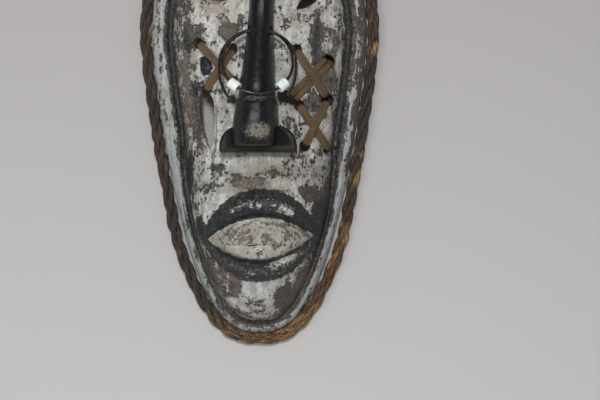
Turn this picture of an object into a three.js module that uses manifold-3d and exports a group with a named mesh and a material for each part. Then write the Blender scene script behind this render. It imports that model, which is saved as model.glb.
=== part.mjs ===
// A carved wooden face mask that hangs on a wall: a hollowed wooden shell with a grooved rim, a
// separate black nose, a rope tacked round the edge, rattan stitches over the cracked cheeks, and a
// coiled wire hoop with two beads that swings in a hole bored through the nose.
//
// Millimetres. +Z is up, the face looks along -Y, and the flat back of the rim lies in the plane
// y = 0. The origin is on that flat back, at the top of the rim, where the mask is held to the wall.
// Most shapes are laid out by three measures: x across, `height` above the lowest point of the rope,
// and `front`, the distance forward of the back plane.

import * as THREE from 'three';
import { mergeVertices } from 'three/addons/utils/BufferGeometryUtils.js';
import Module from 'manifold-3d';

const wasm = await Module();
wasm.setup();

// ---- driving dimensions ----------------------------------------------------------------------

const GAP = 0.3;                       // clearance between touching pieces

const WIDEST_HEIGHT = 257;             // height of the widest part of the shell
const SHELL_HALF_WIDTH = 89.5;
const CROWN_RISE = 134.5;              // from the widest part up to the top of the shell
const CHIN_DROP = 246.5;               // from the widest part down to the chin of the shell
const MOUNT_HEIGHT = 383;              // height of the origin

const AROUND = 124;                    // points round the shell, an even number
const BACK_RIM_WIDTH = 20;             // flat band round the back that lies on the wall
const RIM_WIDTH = 26;                  // bands and groove between the edge and the face
const RIM_NARROWING = 0.54;            // share of that width left beside the mouth and the chin
const FACE_FRONT = 30;                 // the face starts this far forward at the rim
const FACE_MIDDLE = 205;               // height that the rows of the face close in on
const SPINE_SHARE = 0.72;              // length of the line they close on, as a share of the face

const ROPE_RADIUS = 5;
const ROPE_FRONT = 6.6;                // the rope's centre line in front of the wall
const ROPE_STEPS = 88;
const WHIPPING_LENGTH = 24;
const WHIPPING_RADIUS = 6.2;

const NOSE_LEAN = 0.05;                // the nose leans to the right going up, in mm per mm
const NOSE_FOOT = 163;                 // height of the underside of the tip
const NOSE_FOOT_X = -2.6;              // middle of the nose at that height
const PEG_RADIUS = 4;

const HOOP_CENTRE = { x: 0.5, front: 76, height: 228.4 };
const HOOP_TILT = THREE.MathUtils.degToRad(26);   // the top leans back from upright
const WIRE_RADIUS = 1.1;
const HOOP_OUTER = 30;
const HOOP_INNER = 27.6;
const HOOP_STRETCH = 1.04;             // the hoop is a little taller than it is wide
const HOOP_SPLAY = 8;                  // how far the free ends spring outwards
const HOOP_OFFSET = 1.3;               // each turn lies this far before or behind the middle
const NOSE_HOLE_RADIUS = 3.9;
const NOSE_HOLE_REACH = 29.3;          // from the hoop's centre to the middle of the hole

const BEAD_RADIUS = 4.3;
const BEAD_LENGTH = 8.6;
const BEAD_BORE = 1.9;
const RIGHT_BEAD_ANGLE = THREE.MathUtils.degToRad(-45);
const LEFT_BEAD_ANGLE = THREE.MathUtils.degToRad(-130);

const STITCH_THICKNESS = 1.4;
const STITCH_CLEARANCE = 1.1;          // from the face to the underside of a strip
const STITCH_END_SHARE = 0.36;         // half width of a strip's ends, as a share of its width
const STITCH_DEPTH = 9;                // how far a strip's ends go down into the holes

// ---- small helpers ---------------------------------------------------------------------------

const bell = (value, middle, spread) => Math.exp(-(((value - middle) / spread) ** 2));
const degrees = THREE.MathUtils.degToRad;

// A point of the mask from its three measures.
function place(x, front, height) {
  return new THREE.Vector3(x, -front, height - MOUNT_HEIGHT);
}

function toSolid(geometry) {
  const plain = geometry.clone();
  plain.deleteAttribute('normal');
  plain.deleteAttribute('uv');
  const merged = mergeVertices(plain, 1e-4);
  return new wasm.Manifold(new wasm.Mesh({
    numProp: 3,
    vertProperties: merged.attributes.position.array,
    triVerts: Uint32Array.from(merged.index.array),
  }));
}

function toGeometry(solid) {
  const mesh = solid.getMesh();
  const geometry = new THREE.BufferGeometry();
  geometry.setAttribute('position', new THREE.BufferAttribute(mesh.vertProperties, 3));
  geometry.setIndex(new THREE.BufferAttribute(mesh.triVerts, 1));
  geometry.computeVertexNormals();
  return geometry;
}

// Joins rows of points, each row closed on itself, into one skin. With `capped`, the first and the
// last row are filled with flat fans; without, they are left for mergeVertices to close.
function skin(rows, capped) {
  const around = rows[0].length;
  const positions = rows.flat().flatMap((point) => [point.x, point.y, point.z]);
  const triangles = [];
  for (let row = 0; row + 1 < rows.length; row += 1) {
    for (let step = 0; step < around; step += 1) {
      const a = row * around + step;
      const b = row * around + (step + 1) % around;
      triangles.push(a, b, b + around, a, b + around, a + around);
    }
  }
  if (capped) {
    const last = (rows.length - 1) * around;
    for (let step = 1; step + 1 < around; step += 1) {
      triangles.push(0, step + 1, step);
      triangles.push(last, last + step, last + step + 1);
    }
  }
  const geometry = new THREE.BufferGeometry();
  geometry.setAttribute('position', new THREE.Float32BufferAttribute(positions, 3));
  geometry.setIndex(triangles);
  const merged = mergeVertices(geometry, 1e-4);
  const kept = [];
  const index = merged.index.array;
  for (let i = 0; i < index.length; i += 3) {
    const [a, b, c] = [index[i], index[i + 1], index[i + 2]];
    if (a !== b && b !== c && c !== a) kept.push(a, b, c);
  }
  merged.setIndex(kept);
  return merged;
}

// A round bar through a list of points. `side` gives a direction across the bar at each point.
function roundBar(points, side, radius, sides) {
  const rows = points.map((point, i) => {
    const before = points[Math.max(i - 1, 0)];
    const after = points[Math.min(i + 1, points.length - 1)];
    const along = after.clone().sub(before).normalize();
    const across = side(i).clone().addScaledVector(along, -side(i).dot(along)).normalize();
    const up = new THREE.Vector3().crossVectors(along, across);
    return Array.from({ length: sides }, (_, k) => {
      const turn = (2 * Math.PI * k) / sides;
      return point.clone()
        .addScaledVector(across, radius * Math.cos(turn))
        .addScaledVector(up, radius * Math.sin(turn));
    });
  });
  return skin(rows, true);
}

// ---- the outline of the shell ----------------------------------------------------------------

// Right half of the shell's edge, from the chin to the crown: a slim egg whose lower half is drawn
// out and whose upper half is a half ellipse.
const halfEdge = [];
for (let i = 0; i <= 240; i += 1) {
  const angle = -Math.PI / 2 + (Math.PI * i) / 240;
  const across = Math.max(Math.cos(angle), 0);
  const rise = Math.abs(Math.sin(angle));
  const lower = angle < 0;
  const x = SHELL_HALF_WIDTH * (lower ? across ** 0.769 : across);
  const height = WIDEST_HEIGHT + (lower ? -CHIN_DROP * rise ** 1.667 : CROWN_RISE * rise);
  halfEdge.push(new THREE.Vector3(i === 0 || i === 240 ? 0 : x, 0, height));
}

// The whole edge as `count` even steps, starting at the chin and going up the right side. Each
// point keeps the direction that leads straight out from the edge.
function edgePoints(count) {
  const curve = new THREE.CatmullRomCurve3(halfEdge);
  curve.arcLengthDivisions = 2000;
  const right = curve.getSpacedPoints(count / 2);
  const left = right.slice(1, -1).reverse().map((p) => new THREE.Vector3(-p.x, 0, p.z));
  const points = [...right, ...left];
  return points.map((point, i) => {
    const along = points[(i + 1) % count].clone().sub(points[(i + count - 1) % count]).normalize();
    return { x: point.x, height: point.z, outX: along.z, outHeight: -along.x };
  });
}

// ---- relief of the face ----------------------------------------------------------------------

// Where the forehead and the mouth swell forward, and the dip between the eyes: height, spread, and
// how far the face and the hollow behind it rise.
const MIDDLE = { face: 48, hollow: 37 };
const SWELLINGS = [
  { height: 338, spread: 44, face: 14, hollow: 10 },
  { height: 92, spread: 46, face: 14, hollow: 10 },
  { height: 284, spread: 18, face: -3, hollow: 0 },
];
const CHIN = { height: 38, spread: 12, sideSpread: 26, rise: 4 };

// The mouth and the lips round it; `above` and `below` are their half heights at the middle.
const MOUTH = { x: 0.9, height: 85.8, halfWidth: 42, above: 23, below: 13, bulge: 3.5 };
const LIPS = { halfWidth: 48, above: 44, below: 30, roll: 11 };

const EYES = [
  { x: -33.5, height: 287, slant: degrees(-15), halfLength: 9.5, halfHeight: 6 },
  { x: 40.5, height: 282, slant: degrees(38), halfLength: 12, halfHeight: 5 },
];
const SOCKET = { halfLength: 15, halfHeight: 11, swelling: 5, depth: 5, spread: 24 };
const BROW = { height: 312, peak: 30, sag: 0.008, halfWidth: 56, fade: 4, rise: 8, spread: 8 };

// How far the middle of the face, or of the hollow behind it, stands forward at a height.
function middleFront(height, side) {
  return SWELLINGS.reduce(
    (front, part) => front + part[side] * bell(height, part.height, part.spread),
    MIDDLE[side],
  );
}

// Thick lips round a lens-shaped mouth: a roll of wood between an inner and an outer outline, with
// the closed mouth bulging a little inside it.
function lips(x, height) {
  const across = Math.abs(x - MOUTH.x);
  const acrossLips = across / LIPS.halfWidth;
  const acrossMouth = across / MOUTH.halfWidth;
  if (acrossLips >= 1) return 0;
  const rise = height - MOUTH.height;
  const half = rise > 0 ? 'above' : 'below';
  const inner = MOUTH[half] * Math.max(1 - acrossMouth ** 2, 0);
  const outer = LIPS[half] * (1 - acrossLips ** 2.2) ** 0.8;
  const share = (Math.abs(rise) - inner) / (outer - inner);
  if (share >= 1) return 0;
  if (share > 0) return LIPS.roll * Math.sin(Math.PI * share) ** 0.8 * (1 - acrossLips ** 4);
  return MOUTH.bulge * (1 - (rise / inner) ** 2) * (1 - acrossMouth ** 2);
}

// Sunk sockets with a swollen rim round each eye, and a brow over them.
function eyesAndBrows(x, height) {
  let relief = 0;
  for (const eye of EYES) {
    const dx = x - eye.x;
    const dh = height - eye.height;
    const along = dx * Math.cos(eye.slant) + dh * Math.sin(eye.slant);
    const over = -dx * Math.sin(eye.slant) + dh * Math.cos(eye.slant);
    const reach = Math.hypot(along / SOCKET.halfLength, over / SOCKET.halfHeight);
    relief += SOCKET.swelling * bell(reach, 0.95, 0.4);
    relief -= SOCKET.depth * bell(Math.hypot(dx, dh), 0, SOCKET.spread);
  }
  const browHeight = BROW.height - BROW.sag * (Math.abs(x) - BROW.peak) ** 2;
  const browSpan = 1 / (1 + Math.exp((Math.abs(x) - BROW.halfWidth) / BROW.fade));
  return relief + BROW.rise * bell(height, browHeight, BROW.spread) * browSpan;
}

// Front of the face; `share` runs from 0 on the middle line to 1 where the face meets the rim.
function faceFront(x, height, share) {
  const dome = FACE_FRONT + (middleFront(height, 'face') - FACE_FRONT) * (1 - share ** 3);
  const fade = 1 - share ** 8;
  const chin = CHIN.rise * bell(height, CHIN.height, CHIN.spread) * bell(x, 0, CHIN.sideSpread);
  return dome + fade * (lips(x, height) + eyesAndBrows(x, height) + chin);
}

// Inside of the hollow; `share` runs from 0 on the middle line to 1 at the flat back rim.
function hollowFront(height, share) {
  return middleFront(height, 'hollow') * (1 - share ** 3.5);
}

// ---- the shell -------------------------------------------------------------------------------

// Steps of the rim from the outside in, as shares of its width, and how far forward each one is: a
// bevelled band, a flat band, a groove, and the steep side of the face.
const RIM_STEPS = [
  [0, 10], [0.26, 15], [0.46, 13.5], [0.51, 9], [0.62, 8.5], [0.67, 11], [0.85, 24], [1, FACE_FRONT],
];
const FACE_SHARES = [0.92, 0.84, 0.76, 0.68, 0.6, 0.52, 0.44, 0.36, 0.28, 0.19, 0.1, 0];
const HOLLOW_SHARES = [0, 0.18, 0.38, 0.58, 0.76, 0.9];

const edge = edgePoints(AROUND);

// The rim narrows beside the mouth and round the chin.
const NARROW_BELOW = 95;
const WIDE_ABOVE = 185;

function rimWidth(at) {
  const narrow = 1 - THREE.MathUtils.smoothstep(at.height, NARROW_BELOW, WIDE_ABOVE);
  return RIM_WIDTH * (1 - (1 - RIM_NARROWING) * narrow);
}

function insetPoint(at, inset) {
  return { x: at.x - inset * at.outX, height: at.height - inset * at.outHeight };
}

// A point of the inner surfaces: `share` of the way from the middle line out to the inset edge.
function innerPoint(at, inset, share) {
  const end = insetPoint(at, inset);
  const rise = end.height - FACE_MIDDLE;
  const height = FACE_MIDDLE + rise * (SPINE_SHARE + share * (1 - SPINE_SHARE));
  return { x: share * end.x, height };
}

function shellBlank() {
  const hollow = HOLLOW_SHARES.map((share) => edge.map((at) => {
    const p = innerPoint(at, BACK_RIM_WIDTH, share);
    return place(p.x, hollowFront(p.height, share), p.height);
  }));
  const back = [BACK_RIM_WIDTH, 0].map((inset) => edge.map((at) => {
    const p = insetPoint(at, inset);
    return place(p.x, 0, p.height);
  }));
  const rim = RIM_STEPS.map(([share, front]) => edge.map((at) => {
    const p = insetPoint(at, share * rimWidth(at));
    return place(p.x, front, p.height);
  }));
  const face = FACE_SHARES.map((share) => edge.map((at) => {
    const p = innerPoint(at, rimWidth(at), share);
    return place(p.x, faceFront(p.x, p.height, share), p.height);
  }));
  return toSolid(skin([...hollow, ...back, ...rim, ...face], false));
}

// ---- cutters ---------------------------------------------------------------------------------

// A round cutter from front to back.
function bore(x, height, radius, from, to, sides = 10) {
  const geometry = new THREE.CylinderGeometry(radius, radius, to - from, sides);
  const middle = place(x, (from + to) / 2, height);
  geometry.translate(middle.x, middle.y, middle.z);
  return toSolid(geometry);
}

// A cutter that narrows from an outline in front to an outline at the back.
function taperedCut(frontOutline, backOutline, from = CUT_BACK) {
  const back = backOutline.map(([x, height]) => place(x, from, height));
  const front = frontOutline.map(([x, height]) => place(x, CUT_FRONT, height));
  return toSolid(skin([back, front], true));
}

function eyeHole(eye) {
  const shape = new THREE.Shape().absellipse(0, 0, eye.halfLength, eye.halfHeight, 0, 2 * Math.PI);
  const depth = EYE_CUT_FRONT - CUT_BACK;
  const geometry = new THREE.ExtrudeGeometry(shape, { depth, bevelEnabled: false, curveSegments: 7 });
  geometry.rotateZ(eye.slant);
  geometry.rotateX(Math.PI / 2);
  const start = place(eye.x, CUT_BACK, eye.height);
  geometry.translate(start.x, start.y, start.z);
  return toSolid(geometry);
}

// Round holes in the cheeks. The stitches pass through all of them but `rightBeside`.
const HOLES = {
  leftOuter: { x: -48.5, height: 247.5, radius: 4 },
  leftInner: { x: -20.5, height: 242, radius: 4 },
  leftLow: { x: -20, height: 216, radius: 4 },
  leftSlot: { x: -42.5, height: 209, radius: 4.4 },
  rightInner: { x: 30.6, height: 241.4, radius: 4.2 },
  rightOuter: { x: 56.6, height: 233.4, radius: 5.2 },
  rightBeside: { x: 20.5, height: 204, radius: 4.8 },
  rightMiddle: { x: 28, height: 202.6, radius: 5.4 },
  rightLow: { x: 32.8, height: 197, radius: 4 },
  rightSide: { x: 55.8, height: 202.6, radius: 5 },
  rightFoot: { x: 37.5, height: 164, radius: 4.2 },
  rightFar: { x: 57, height: 161.5, radius: 4.2 },
};

// The crack in the left cheek: a blind window above and a long slot below. The slot's outer wall is
// worn to a slope, so it is wider in front than at the back.
const WINDOW = [[-46.5, 219.5], [-38, 223], [-36.5, 230], [-43, 237.5], [-47.5, 235]];
const WINDOW_FLOOR = 38;
const SLOT_FRONT = [
  [-40, 158.5], [-35.5, 165], [-34.5, 190], [-36.5, 206], [-45, 211], [-53, 217], [-54, 198], [-50, 177],
];
const SLOT_BACK = [
  [-39, 161], [-36, 166], [-35, 190], [-37, 204], [-41, 206], [-44.5, 206], [-45.5, 195], [-44, 177],
];
const CUT_BACK = 20;                   // the cuts through the cheeks run from here...
const CUT_FRONT = 66;                  // ...to here, measured forward from the wall
const EYE_CUT_FRONT = 80;

// ---- rope round the edge ---------------------------------------------------------------------

// The rope stands a little off the rim beside the mouth, and at the crown under its whipping.
const STANDOFF = 0.5;
const MOUTH_STANDOFF = { height: 88, spread: 32, rise: 2.2 };
const CROWN_STANDOFF = { height: 391, spread: 9, rise: 1.3 };

function ropeStandoff(at) {
  return [MOUTH_STANDOFF, CROWN_STANDOFF].reduce(
    (gap, part) => gap + part.rise * bell(at.height, part.height, part.spread),
    STANDOFF,
  );
}

const ropeEdge = edgePoints(2 * ROPE_STEPS);

function ropePoint(at) {
  const out = ROPE_RADIUS + ropeStandoff(at);
  return place(at.x + out * at.outX, ROPE_FRONT, at.height + out * at.outHeight);
}

// The rope runs from the crown down one side, round the chin and up the other side, and its two
// ends meet at the crown.
function ropeBlank() {
  const route = [];
  for (let i = 0; i <= 2 * ROPE_STEPS; i += 2) {
    route.push(ropeEdge[(i + ROPE_STEPS) % (2 * ROPE_STEPS)]);
  }
  const points = route.map(ropePoint);
  points[0].x = -GAP;
  points[points.length - 1].x = GAP;
  const outwards = (i) => new THREE.Vector3(route[i].outX, 0, route[i].outHeight);
  return toSolid(roundBar(points, outwards, ROPE_RADIUS, 8));
}

// A binding of thread over the joint of the rope's ends.
function whipping() {
  const points = [];
  const crown = ropePoint(ropeEdge[ROPE_STEPS]);
  for (let i = -3; i <= 3; i += 1) {
    const x = (WHIPPING_LENGTH * i) / 6;
    points.push(new THREE.Vector3(x, crown.y, crown.z - (x * x) / 150));
  }
  const up = () => new THREE.Vector3(0, 0, 1);
  const lengthened = [points[0].clone().setX(points[0].x - 1), ...points.slice(1, -1),
    points[6].clone().setX(points[6].x + 1)];
  const outer = toSolid(roundBar(points, up, WHIPPING_RADIUS, 12));
  const inner = toSolid(roundBar(lengthened, up, ROPE_RADIUS + 2 * GAP, 12));
  return toGeometry(outer.subtract(inner));
}

// ---- tacks that hold the rope ----------------------------------------------------------------

const TACK_HEIGHTS = [13, 150, 200, 250, 300, 350];
const TACK_LENGTH = 19;
const TACK_HEAD = 2.4;
const TACK_SHANK = 0.9;

// Where each tack goes in: the point of the edge nearest each height, on both sides.
const tackPlaces = TACK_HEIGHTS.flatMap((height) => {
  const upper = ropeEdge.slice(1, ROPE_STEPS);
  const nearest = upper.reduce((best, at) => (
    Math.abs(at.height - height) < Math.abs(best.height - height) ? at : best
  ));
  return [nearest, { ...nearest, x: -nearest.x, outX: -nearest.outX }];
});

// A turned pin whose head is outermost, along the direction that leads out of the edge.
function alongEdge(geometry, at) {
  const out = new THREE.Vector3(at.outX, 0, at.outHeight);
  const turn = new THREE.Quaternion().setFromUnitVectors(new THREE.Vector3(0, 1, 0), out);
  geometry.applyQuaternion(turn);
  const reach = 2 * ROPE_RADIUS + ropeStandoff(at);
  const start = place(at.x + reach * at.outX, ROPE_FRONT, at.height + reach * at.outHeight);
  geometry.translate(start.x, start.y, start.z);
  return geometry;
}

function tack(at) {
  const profile = [[0, -TACK_LENGTH], [TACK_SHANK, -TACK_LENGTH + 3], [TACK_SHANK, -2],
    [TACK_HEAD, -1.6], [TACK_HEAD * 0.7, -0.5], [0, -0.3]];
  const geometry = new THREE.LatheGeometry(profile.map(([r, y]) => new THREE.Vector2(r, y)), 6);
  return alongEdge(geometry, at);
}

function tackCut(at) {
  const shank = new THREE.CylinderGeometry(TACK_SHANK + GAP, TACK_SHANK + GAP, TACK_LENGTH + 0.6, 6);
  shank.translate(0, -TACK_LENGTH / 2, 0);
  const head = new THREE.CylinderGeometry(TACK_HEAD + GAP, TACK_HEAD + GAP, 4, 6);
  head.translate(0, -0.3, 0);
  return toSolid(alongEdge(shank, at)).add(toSolid(alongEdge(head, at)));
}

// ---- nose ------------------------------------------------------------------------------------

const noseMiddle = (height) => NOSE_FOOT_X + NOSE_LEAN * (height - NOSE_FOOT);

// Height, half width and front of the nose, from the root between the brows to the tip. The wire of
// the hoop lies in the step above the tip.
const NOSE_STATIONS = [
  [331, 4.2, 62], [324, 7.8, 65.5], [308, 10, 68.5], [280, 10.3, 69.5], [262, 10.6, 71],
  [250, 11.4, 74], [230, 13, 79.5], [212, 14.5, 84], [201.4, 15.4, 86], [199.6, 16.8, 89.5],
  [192, 17.6, 92], [182, 18.4, 93.6], [172, 18.9, 93], [166.5, 18.9, 91], [NOSE_FOOT, 18.4, 87],
];

// A section of the nose bar: upright flanks that lean together into a rounded ridge.
function noseSection([height, halfWidth, front]) {
  const back = middleFront(height, 'face') - 6;
  const turns = [0, 24, 44, 66, 90, 114, 136, 156, 180].map(degrees);
  return turns.map((turn) => {
    const across = Math.sign(Math.cos(turn)) * Math.abs(Math.cos(turn)) ** 0.85;
    const out = Math.max(Math.sin(turn), 0) ** 0.7;
    return place(noseMiddle(height) + halfWidth * across, back + (front - back) * out, height);
  });
}

const WING_FRONT = 67;
const WING_BACK = 44;

// The wings: a plate behind the tip, flat below and round-shouldered.
function wings() {
  const shape = new THREE.Shape();
  shape.moveTo(-30.5, 158.5);
  shape.lineTo(30.5, 158.5);
  shape.lineTo(31, 162);
  shape.bezierCurveTo(31, 172, 26, 178, 15, 180);
  shape.lineTo(-15, 180);
  shape.bezierCurveTo(-26, 178, -31, 172, -31, 162);
  const bevel = 1.5;
  const geometry = new THREE.ExtrudeGeometry(shape, {
    depth: WING_FRONT - WING_BACK - bevel, bevelSize: bevel, bevelThickness: bevel, bevelSegments: 1,
    curveSegments: 5,
  });
  geometry.rotateX(Math.PI / 2);
  const start = place(0.6, WING_BACK, 0);
  geometry.translate(start.x, start.y, start.z);
  return toSolid(geometry);
}

const NOSE_PEGS = [
  { name: 'nose_peg_upper', x: noseMiddle(232), height: 232, from: 37.6, to: 64 },
  { name: 'nose_peg_lower', x: noseMiddle(182), height: 182, from: 38, to: 66 },
];

function pegCut(peg) {
  return bore(peg.x, peg.height, PEG_RADIUS + GAP, 25, peg.to + GAP, 12);
}

// The middle of the hole that the hoop swings in.
const HINGE_HEIGHT = 254;

const hoopHinge = {
  x: noseMiddle(HINGE_HEIGHT),
  front: HOOP_CENTRE.front - NOSE_HOLE_REACH * Math.sin(HOOP_TILT),
  height: HOOP_CENTRE.height + NOSE_HOLE_REACH * Math.cos(HOOP_TILT),
};

function hoopHole() {
  const geometry = new THREE.CylinderGeometry(NOSE_HOLE_RADIUS, NOSE_HOLE_RADIUS, 40, 16);
  geometry.rotateZ(Math.PI / 2);
  const middle = place(hoopHinge.x, hoopHinge.front, hoopHinge.height);
  geometry.translate(middle.x, middle.y, middle.z);
  return toSolid(geometry);
}

// ---- hoop and beads, in the plane of the hoop -------------------------------------------------

const easing = THREE.MathUtils.smoothstep;
const HOOP_START = 238;                // where the wire starts, in degrees round the hoop
const HOOP_LEAD = 58;                  // degrees over which its start spreads outwards...
const HOOP_TAIL = 52;                  // ...and over which its end does

// The wire makes almost two turns. It starts low on the left, goes clockwise through the nose, in
// front of it through both beads, through the nose again, and ends low on the right.
function hoopPoint(turned) {
  const start = HOOP_START;
  const angle = degrees(start - turned);
  const toInner = easing(turned, start - 90, start);
  const toOuter = easing(turned, start + 270, start + 360);
  const splayStart = HOOP_SPLAY * Math.max(1 - turned / HOOP_LEAD, 0) ** 1.5;
  const splayEnd = HOOP_SPLAY * Math.max((turned - start - 360) / HOOP_TAIL, 0) ** 1.5;
  const radius = HOOP_OUTER + (HOOP_INNER - HOOP_OUTER) * (toInner - toOuter) + splayStart + splayEnd;
  const offset = HOOP_OFFSET * (2 * easing(turned, start + 62, start + 118) - 1);
  return new THREE.Vector3(radius * Math.cos(angle), HOOP_STRETCH * radius * Math.sin(angle), offset);
}

const HOOP_TURNED = HOOP_START + 360 + HOOP_TAIL;
const HOOP_STEPS = 65;

function hoopWire() {
  const points = [];
  for (let i = 0; i <= HOOP_STEPS; i += 1) points.push(hoopPoint((HOOP_TURNED * i) / HOOP_STEPS));
  return roundBar(points, () => new THREE.Vector3(0, 0, 1), WIRE_RADIUS, 8);
}

function bead() {
  const half = BEAD_LENGTH / 2;
  const round = 0.7;
  const profile = [[BEAD_BORE, -half], [BEAD_RADIUS - round, -half], [BEAD_RADIUS, -half + round],
    [BEAD_RADIUS, half - round], [BEAD_RADIUS - round, half], [BEAD_BORE, half], [BEAD_BORE, -half]];
  return new THREE.LatheGeometry(profile.map(([r, y]) => new THREE.Vector2(r, y)), 16);
}

// ---- stitches over the cracks ----------------------------------------------------------------

// Front of the finished face at any point, by dropping a probe on the shell's front rows.
function shellFront(x, height) {
  const inside = Math.abs(x);
  const at = ropeEdge.slice(0, ROPE_STEPS).reduce((best, candidate) => {
    const inset = rimWidth(candidate);
    const share = Math.min(inside / Math.max(insetPoint(candidate, inset).x, 1e-6), 1);
    const error = Math.abs(innerPoint(candidate, inset, share).height - height);
    return error < best.error ? { error, share } : best;
  }, { error: Infinity, share: 1 });
  return faceFront(x, height, at.share);
}

// A flat strip from hole to hole: up out of the first, over the face, down into the second. Where it
// passes over another strip, a share `crossAt` of the way along, it rises by `lift`.
function stitch({ from, to, width, lift, crossAt }) {
  const steps = 10;
  const flat = new THREE.Vector2(to[0] - from[0], to[1] - from[1]).normalize();
  const ahead = new THREE.Vector3(flat.x, 0, flat.y);
  const endHalf = STITCH_END_SHARE * width;

  // The strip's two edges `half` to each side of a point, each at its own distance forward.
  const edges = (x, height, half, frontAt) => [-1, 1].map((side) => {
    const edgeX = x - side * flat.y * half;
    const edgeHeight = height + side * flat.x * half;
    return place(edgeX, frontAt(edgeX, edgeHeight), edgeHeight);
  });
  const row = ([left, right], outwards) => {
    const step = outwards.clone().multiplyScalar(STITCH_THICKNESS / 2);
    const below = [left.clone().sub(step), right.clone().sub(step)];
    return [...below, right.clone().add(step), left.clone().add(step)];
  };
  const sunk = ([x, height], depth, outwards) => {
    const front = shellFront(x, height) - depth;
    return row(edges(x, height, endHalf, () => front), outwards);
  };
  const back = ahead.clone().negate();
  const rows = [sunk(from, STITCH_DEPTH, back), sunk(from, 1, back)];
  for (let i = 0; i <= steps; i += 1) {
    const t = 0.05 + (0.9 * i) / steps;
    const x = THREE.MathUtils.lerp(from[0], to[0], t);
    const height = THREE.MathUtils.lerp(from[1], to[1], t);
    const rise = STITCH_CLEARANCE + STITCH_THICKNESS / 2 + lift * bell(t, crossAt, 0.24);
    const half = i === 0 || i === steps ? endHalf : width / 2;
    const corners = edges(x, height, half, (ex, eh) => shellFront(ex, eh) + rise);
    rows.push(row(corners, new THREE.Vector3(0, -1, 0)));
  }
  rows.push(sunk(to, 1, ahead), sunk(to, STITCH_DEPTH, ahead));
  return skin(rows, true);
}

const OVER = { lift: 3.4, crossAt: 0.5 };
const UNDER = { lift: 0, crossAt: 0.5 };
const STITCHES = [
  { name: 'left_under', from: [-48.2, 247.2], to: [-20.3, 216.3], width: 6.4, ...UNDER },
  { name: 'left_over', from: [-20.8, 241.7], to: [-42.2, 209], width: 6.4, ...OVER, crossAt: 0.42 },
  { name: 'right_upper_over', from: [30.9, 241], to: [54.9, 204.4], width: 6.6, ...OVER },
  { name: 'right_upper_under_a', from: [54.8, 235.1], to: [26.2, 204.3], width: 4.6, ...UNDER },
  { name: 'right_upper_under_b', from: [58.4, 231.7], to: [29.8, 200.9], width: 4.6, ...UNDER },
  { name: 'right_lower_under', from: [33, 196.7], to: [57.4, 161.8], width: 6.4, ...UNDER },
  {
    name: 'right_lower_over', from: [55.9, 200.8], to: [37.7, 164.6], width: 6.4, ...OVER,
    crossAt: 0.64,
  },
];

// ---- hanging eye -----------------------------------------------------------------------------

const EYE_HEIGHT = 345;
const EYE_HALF = 6;
const EYE_WIRE = 1.5;
const EYE_FRONT = 48;
const EYE_BEND = 20;                   // where the legs end and the bow begins

// A bent wire staple driven into the back of the forehead; its bow stands free in the hollow.
function hangingEye() {
  const points = [place(-EYE_HALF, EYE_FRONT, EYE_HEIGHT), place(-EYE_HALF, EYE_BEND, EYE_HEIGHT)];
  for (let turn = 15; turn <= 165; turn += 30) {
    const x = -EYE_HALF * Math.cos(degrees(turn));
    points.push(place(x, EYE_BEND - EYE_HALF * Math.sin(degrees(turn)), EYE_HEIGHT));
  }
  points.push(place(EYE_HALF, EYE_BEND, EYE_HEIGHT), place(EYE_HALF, EYE_FRONT, EYE_HEIGHT));
  return roundBar(points, () => new THREE.Vector3(0, 0, 1), EYE_WIRE, 8);
}

// ---- cutting the pieces to each other ----------------------------------------------------------

let shell = shellBlank();
let rope = ropeBlank();

for (const at of tackPlaces) {
  const cut = tackCut(at);
  shell = shell.subtract(cut);
  rope = rope.subtract(cut);
}

let nose = toSolid(skin(NOSE_STATIONS.map(noseSection), true)).add(wings());
nose = nose.subtract(shell.translate([0, -GAP, 0])).subtract(hoopHole());

for (const eye of EYES) shell = shell.subtract(eyeHole(eye));
for (const hole of Object.values(HOLES)) {
  shell = shell.subtract(bore(hole.x, hole.height, hole.radius, CUT_BACK, CUT_FRONT));
}
shell = shell.subtract(taperedCut(WINDOW, WINDOW, WINDOW_FLOOR));
shell = shell.subtract(taperedCut(SLOT_FRONT, SLOT_BACK));
for (const peg of NOSE_PEGS) {
  shell = shell.subtract(pegCut(peg));
  nose = nose.subtract(pegCut(peg));
}
for (const x of [-EYE_HALF, EYE_HALF]) {
  shell = shell.subtract(bore(x, EYE_HEIGHT, EYE_WIRE + GAP, 20, EYE_FRONT + 0.5, 8));
}

// ---- assembly --------------------------------------------------------------------------------

const finishes = {
  wood: new THREE.MeshStandardMaterial({ color: 0xb4b6b0, roughness: 0.75, metalness: 0 }),
  blackWood: new THREE.MeshStandardMaterial({ color: 0x1e1f22, roughness: 0.4, metalness: 0 }),
  rawWood: new THREE.MeshStandardMaterial({ color: 0x8a7352, roughness: 0.8, metalness: 0 }),
  rope: new THREE.MeshStandardMaterial({ color: 0x5a4a3c, roughness: 0.9, metalness: 0 }),
  rattan: new THREE.MeshStandardMaterial({ color: 0x6b4f35, roughness: 0.7, metalness: 0 }),
  wire: new THREE.MeshStandardMaterial({ color: 0x19191b, roughness: 0.3, metalness: 0.6 }),
  bead: new THREE.MeshStandardMaterial({ color: 0xd2e2de, roughness: 0.45, metalness: 0 }),
  iron: new THREE.MeshStandardMaterial({ color: 0x4a4541, roughness: 0.6, metalness: 0.8 }),
};

const mask = new THREE.Group();

function addPiece(name, geometry, finish, parent = mask) {
  const piece = new THREE.Mesh(geometry, finish.clone());
  piece.name = name;
  parent.add(piece);
  return piece;
}

addPiece('mask_shell', toGeometry(shell), finishes.wood);
addPiece('nose', toGeometry(nose), finishes.blackWood);
addPiece('rim_rope', toGeometry(rope), finishes.rope);
addPiece('rope_whipping', whipping(), finishes.rope);

tackPlaces.forEach((at, i) => addPiece(`rope_tack_${i + 1}`, tack(at), finishes.iron));

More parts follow.
